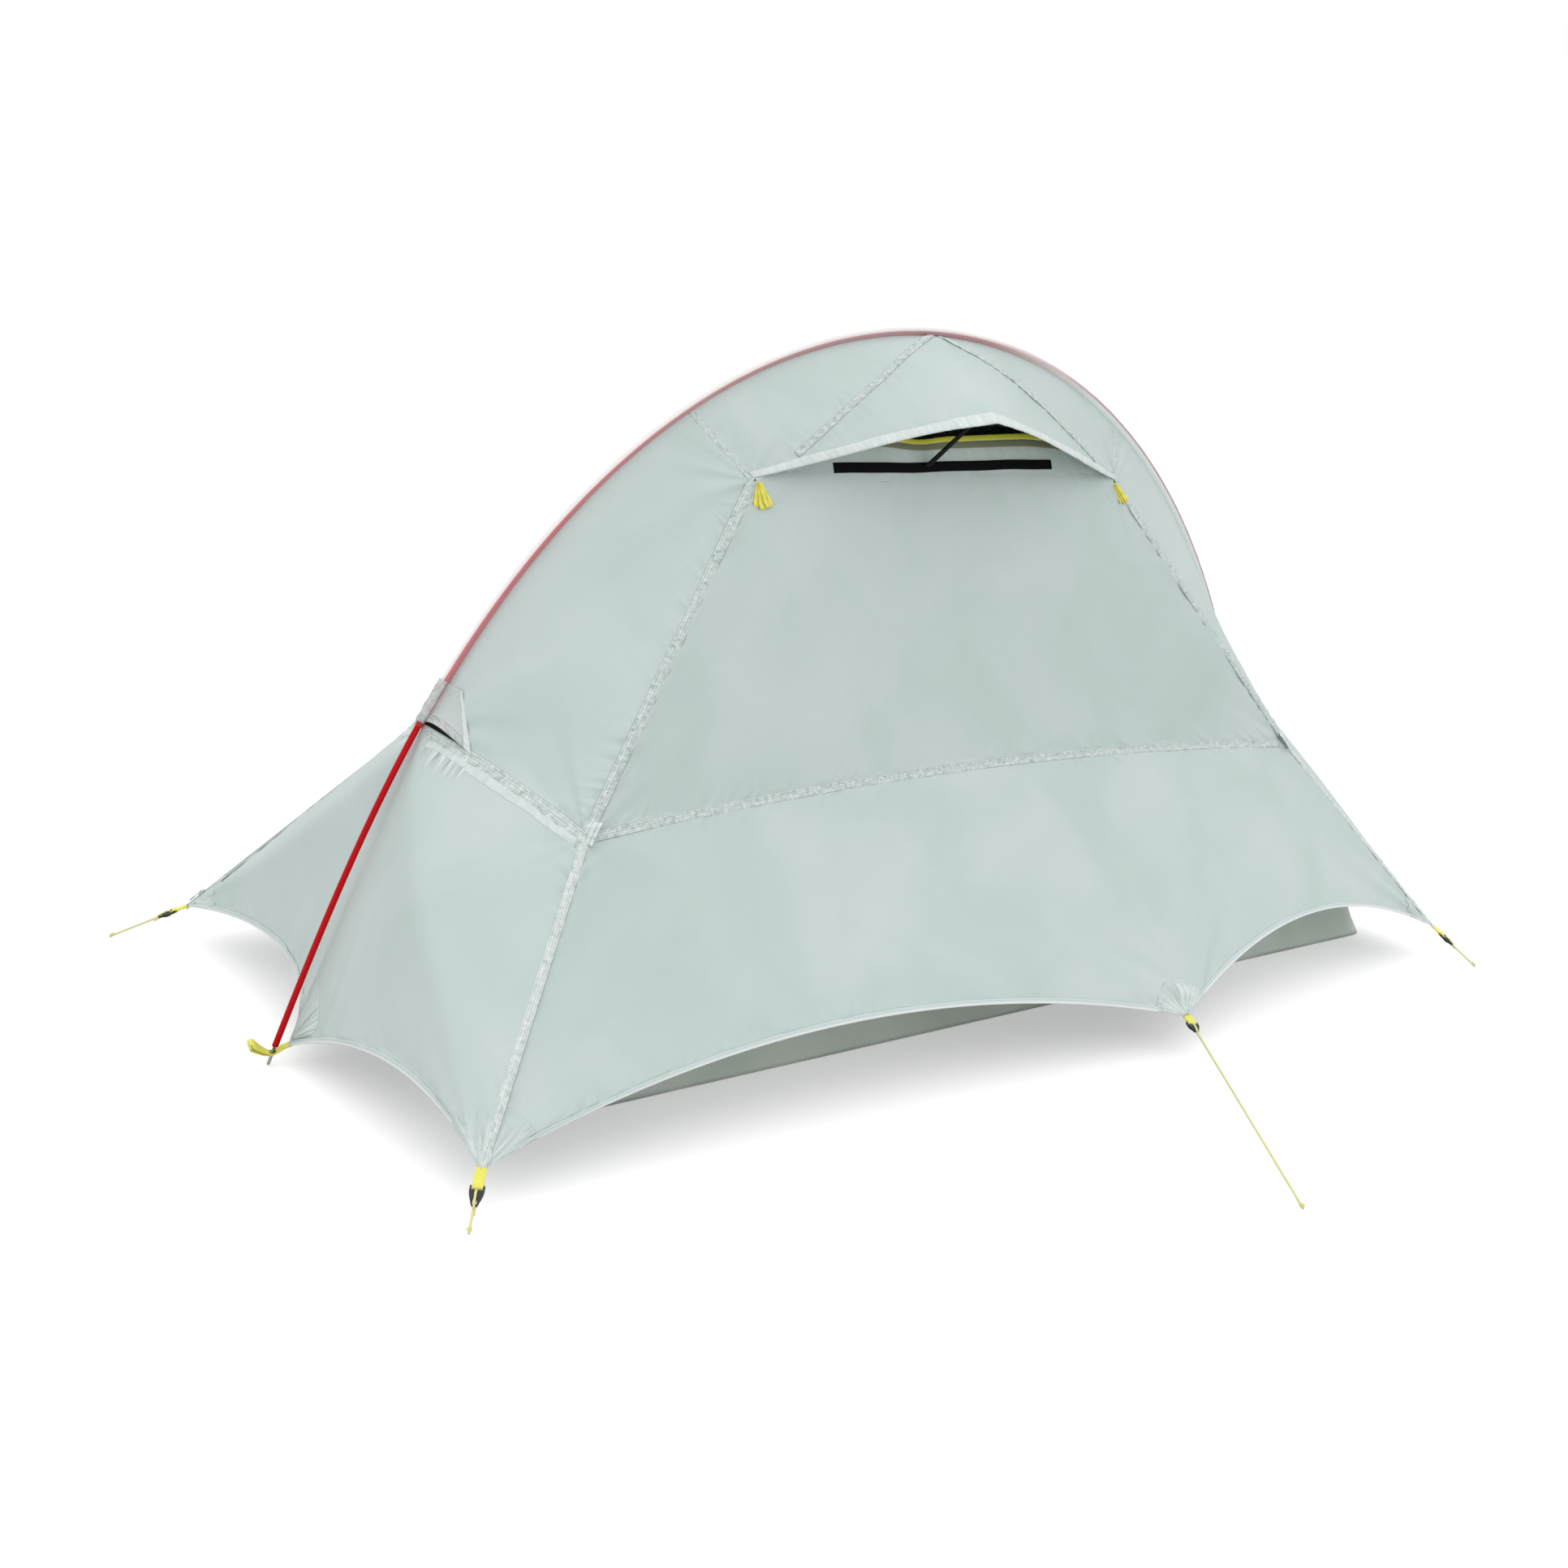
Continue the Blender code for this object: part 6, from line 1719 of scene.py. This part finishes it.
# Places along the strap: distance from the tent's middle and height above the ground
pin_x, pin_z = -pin[0], pin[2]
strap = np.array((
    (FOOT_EDGE[0] - 0.006, STRAP_HEIGHT + 0.003), (FOOT_EDGE[0] + 0.006, STRAP_HEIGHT + 0.0005),
    (pin_x - 0.0065, pin_z + 0.0012), (pin_x, pin_z), (pin_x + 0.0065, pin_z + 0.0012),
    (pin_x + 0.015, pin_z + 0.0045), (pin_x + 0.026, pin_z + 0.0120), (pin_x + 0.0315, pin_z + 0.0165),
))
for end, sx in SIDES_X:
    t = np.linspace(0, len(strap) - 1, 60)
    x, z = (np.interp(t, range(len(strap)), strap[:, k]) for k in (0, 1))
    for _ in range(3):
        x[1:-1] = (x[:-2] + 2 * x[1:-1] + x[2:]) / 4
        z[1:-1] = (z[:-2] + 2 * z[1:-1] + z[2:]) / 4
    under = np.stack((sx * x, 0 * x, z), -1)
    opened = 0.0042 * np.clip((t - 3.6) / 2.4, 0, 1) * np.clip((7 - t) / 0.9, 0, 1) ** 0.5
    over = under + np.stack((0 * x, 0 * x, 0.0013 + opened), -1)
    path = np.concatenate((under[:-1], under[-1:] + [[sx * 0.0012, 0, 0.0008]], over[::-1][1:]))
    wide = STRAP_WIDTH * np.concatenate((np.ones(30), np.linspace(1, 1.45, 30), np.linspace(1.45, 1, 30),
                                         np.ones(len(path) - 90)))
    roll = np.radians(48) * np.clip((sx * path[:, 0] - strap[2, 0]) / (strap[-1, 0] - strap[2, 0]), 0, 1)
    across = np.stack((0 * roll, np.cos(roll), np.sin(roll)), -1)
    flat_bar(f"foot_tape_{end}", path, across, wide, 0.0008, webbing, "tent", "webbing", f"foot_strap_{end}")
    mark = np.linspace(0, 2 * math.pi, 41)[:, None]
    eyelet = pin * np.array((-sx, 1.0, 1.0)) + np.array((0, 0, 0.0022)) + 0.0040 * (
        np.cos(mark) * np.array((1.0, 0, 0)) + np.sin(mark) * np.array((0, 1.0, 0)))
    add_tube(f"eyelet_{end}", eyelet, 0.0009, 10, plastic_black, "tent", "black_plastic", loop=True)


# Junction tabs.
# A small doubled tab is sewn over the point where four seams meet on each side.
TAB_HALF_WIDTH = 0.0125
TAB_HALF_LENGTH = 0.018
for side, sy in SIDES_Y:
    for end, sx in SIDES_X:
        mirror = np.array((sx, sy, 1.0))
        centre = HIP * mirror
        down = unit(HIP * mirror - BROW_CORNER * mirror)
        normal = squared(-to_core(centre), down)
        across = np.cross(normal, down)
        p, q = np.meshgrid(np.linspace(-1, 1, 31), np.linspace(-1, 1, 41))
        pillow = (1 - np.abs(p) ** 4) * (1 - np.abs(q) ** 6)
        rough = 0.0022 * np.abs(bumps(p * 2.2 + q, q * 5 + 7 * sx, 801)) + 0.0006 * bumps(p * 7, q * 9, 802)
        away_from_it = np.hypot(p * TAB_HALF_WIDTH, q * 0.006) * 0.22
        height = 0.0006 + 0.0016 * pillow + rough * pillow - away_from_it
        grid = (centre - down * 0.011 + across * column(p * TAB_HALF_WIDTH)
                + down * column(q * TAB_HALF_LENGTH) + normal * column(height))
        uv = np.stack((q * TAB_HALF_LENGTH, 0.5 + p / 2), -1)
        outward_shell(f"junction_tab_{side}_{end}", grid, uv, corner_cloth, "tent", "fly_cloth", 0.0006)


# Door zips.
# A coil zip runs up each side of the door from the corner to just below the brow. One tape
# is sewn to the fixed panels and one to the door. A slider with a cord pull closes them.
ZIP_TAPE = 0.010
ZIP_START = 0.045
ZIP_COIL_RADIUS = 0.0010
SLIDER_LENGTH = 0.012
SLIDER_HALF_WIDTH = 0.0035
SLIDER_THICKNESS = 0.0026
zip_tape = new_material("zip_tape", (0.56, 0.64, 0.62), 0.75)
add_bump(zip_tape, bands(zip_tape, (500.0, 500.0, 1.0), "DIAGONAL"), 0.4, 0.0003)
zip_coil = new_material("zip_coil", (0.46, 0.53, 0.51), 0.4)
coils = bands(zip_coil, (1.0, 190.0, 1.0), "Y")
tinted(zip_coil, coils, (0.28, 0.33, 0.32), (0.54, 0.60, 0.59), 0.15, 0.75)
add_bump(zip_coil, coils, 0.9, 0.0006)
slider_grey = new_material("painted_slider", (0.50, 0.58, 0.56), 0.4)
add_bump(slider_grey, noise(slider_grey, (600.0, 600.0, 600.0), "Object"), 0.15, 0.0002)
pull_grey = braid_material("pull_cord_braid", (0.36, 0.42, 0.41), (0.58, 0.64, 0.63))


def zip_half(name, curve, start, into, body, seed):
    """Tape from the seam into a panel, with half of the coil along the seam."""
    t = np.linspace(start, 1, 180)
    points = curve(t)
    run = unit(np.gradient(points, axis=0))
    inside = squared(into(t), run)
    normal = squared(-to_core(points), run)
    s = np.concatenate(([0], np.cumsum(np.linalg.norm(np.diff(points, axis=0), axis=1))))
    rows = []
    for share in np.linspace(0.02, 1, 5):
        reach = share * ZIP_TAPE * (1 + 0.05 * ripple(s / 0.04, seed))
        height = 0.0006 + 0.00022 * ripple(s / 0.006, seed + 1) * share - 0.0003 * share ** 4
        rows.append(points + inside * column(reach) + normal * column(height))
    grid = np.array(rows).transpose(1, 0, 2)
    uv = np.stack(np.broadcast_arrays(np.linspace(0, ZIP_TAPE, 5)[None], s[:, None]), -1)
    outward_shell(f"zip_tape_{name}", grid, uv, zip_tape, body, "fly_cloth", 0.0005)
    line = points + inside * 0.0011 + normal * 0.0009
    add_tube(f"zip_coil_{name}", line, ZIP_COIL_RADIUS, 8, zip_coil, body, "fly_cloth")


for end, sx in SIDES_X:
    wall_edge = "left" if sx < 0 else "right"
    skirt_edge = "right" if sx < 0 else "left"
    upper, lower = flipped(DOOR_SIDE, sx, 1), flipped(CORNER_SEAM, sx, 1)
    zip_half(f"upper_{end}_fixed", upper, ZIP_START, away(side_surface(sx, 1), "bottom"), "tent", 820)
    zip_half(f"upper_{end}_door", upper, ZIP_START, away(wall_surface(1), wall_edge), "door", 830)
    zip_half(f"lower_{end}_fixed", lower, 0, away(end_surface(sx, "far", 1), "right"), "tent", 840)
    zip_half(f"lower_{end}_door", lower, 0, away(skirt_surface(1), skirt_edge), "door", 850)
    low, hip = CORNER * np.array((sx, 1.0, 1.0)), HIP * np.array((sx, 1.0, 1.0))
    along = unit(hip - low)
    normal = squared(-to_core(low), along)
    inside = np.cross(along, normal)
    spot = low + along * 0.030 + normal * (0.0015 + 0.0005)
    bm = bmesh.new()
    bmesh.ops.create_grid(bm, x_segments=6, y_segments=8, size=1.0)
    for vert in bm.verts:
        share = (vert.co.y + 1) / 2
        wide = SLIDER_HALF_WIDTH * (1 - 0.22 * math.sin(math.pi * share) - 0.10 * share)
        vert.co = (vert.co.x * wide, share * SLIDER_LENGTH, 0.0)
    raised = bmesh.ops.extrude_face_region(bm, geom=list(bm.faces))
    raised = [part for part in raised["geom"] if isinstance(part, bmesh.types.BMVert)]
    bmesh.ops.translate(bm, verts=raised, vec=(0, 0, SLIDER_THICKNESS))
    bmesh.ops.recalc_face_normals(bm, faces=bm.faces)
    outward_side = inside if np.dot(np.cross(inside, along), normal) >= 0 else -inside
    slider_mesh = moulded_mesh(f"slider_{end}", bm, 0.0006, spot - normal * 0.0013, outward_side, along)
    slider_body = f"zip_slider_{end}"
    add_piece(f"slider_{end}", slider_mesh, slider_grey, slider_body, "black_plastic", slider_body)
    bend = np.linspace(0, math.pi, 25)[:, None]
    bridge = spot + along * (0.006 - 0.0042 * np.cos(bend)) + normal * (0.0011 + 0.0021 * np.sin(bend))
    add_tube(f"slider_bridge_{end}", bridge, 0.0007, 10, slider_grey, slider_body, "black_plastic")
    turn = np.linspace(0, 2 * math.pi, 61)[:, None]
    pull = (spot + normal * (0.0020 + 0.0004 * np.sin(2 * turn)) + along * (-0.0070 + 0.0125 * np.cos(turn))
            + np.cross(normal, along) * 0.0021 * np.sin(turn))
    add_tube(f"slider_pull_{end}", pull, 0.0008, 10, pull_grey, slider_body, "line", loop=True)


# Studio.
# A wide white floor under a white sky, with one very soft lamp nearly overhead. The floor
# is brighter to the camera than to the tent, so that only the deep shadow shows.
FLOOR_SEEN = (0.86, 0.86, 0.86)
FLOOR_BOUNCE = (0.62, 0.62, 0.62)
FLOOR_GLOW = 0.37
SKY_LIGHT = 0.86
SKY_SEEN = 1.00
floor_white = bpy.data.materials.new("studio_floor")
floor_white.use_nodes = True
nodes, links = floor_white.node_tree.nodes, floor_white.node_tree.links
nodes.remove(nodes["Principled BSDF"])
to_camera = add_node(floor_white, "ShaderNodeLightPath", {}).outputs["Is Camera Ray"]
shade = mixed(floor_white, to_camera, FLOOR_BOUNCE, FLOOR_SEEN)
matt = add_node(floor_white, "ShaderNodeBsdfDiffuse", {"Color": shade})
glow = add_node(floor_white, "ShaderNodeEmission", {"Color": to_camera, "Strength": FLOOR_GLOW})
both = add_node(floor_white, "ShaderNodeAddShader", {0: matt.outputs["BSDF"], 1: glow.outputs["Emission"]})
links.new(both.outputs["Shader"], nodes["Material Output"].inputs["Surface"])
bm = bmesh.new()
bmesh.ops.create_grid(bm, x_segments=8, y_segments=8, size=60.0)
floor_mesh = bpy.data.meshes.new("studio_floor")
bm.to_mesh(floor_mesh)
bm.free()
floor_mesh.materials.append(floor_white)
studio_floor = bpy.data.objects.new("studio_floor", floor_mesh)
bpy.context.scene.collection.objects.link(studio_floor)
lamp_data = bpy.data.lights.new("soft_lamp", "SUN")
lamp_data.energy = 0.9
lamp_data.angle = 1.9
lamp = bpy.data.objects.new("soft_lamp", lamp_data)
lamp.rotation_euler = Vector((0.03, 0.04, -0.999)).to_track_quat("-Z", "Y").to_euler()
bpy.context.scene.collection.objects.link(lamp)
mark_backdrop(studio_floor, lamp)

sky = bpy.data.worlds.new("white_sky")
sky.use_nodes = True
bpy.context.scene.world = sky
background = sky.node_tree.nodes["Background"]
background.inputs["Color"].default_value = (1.0, 1.0, 1.0, 1.0)
to_camera = add_node(sky, "ShaderNodeLightPath", {}).outputs["Is Camera Ray"]
level_of_sky = calculated(sky, "MULTIPLY_ADD", to_camera, SKY_SEEN - SKY_LIGHT, SKY_LIGHT)
sky.node_tree.links.new(level_of_sky, background.inputs["Strength"])
bpy.context.scene.view_settings.view_transform = "Standard"


# Size.
# The lowest and highest corners of the whole tent, of the solids and of what is seen.
boxes = {"cad_box": [list(corner) for corner in cad_box],
         "visual_box": [list(corner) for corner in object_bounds()]}
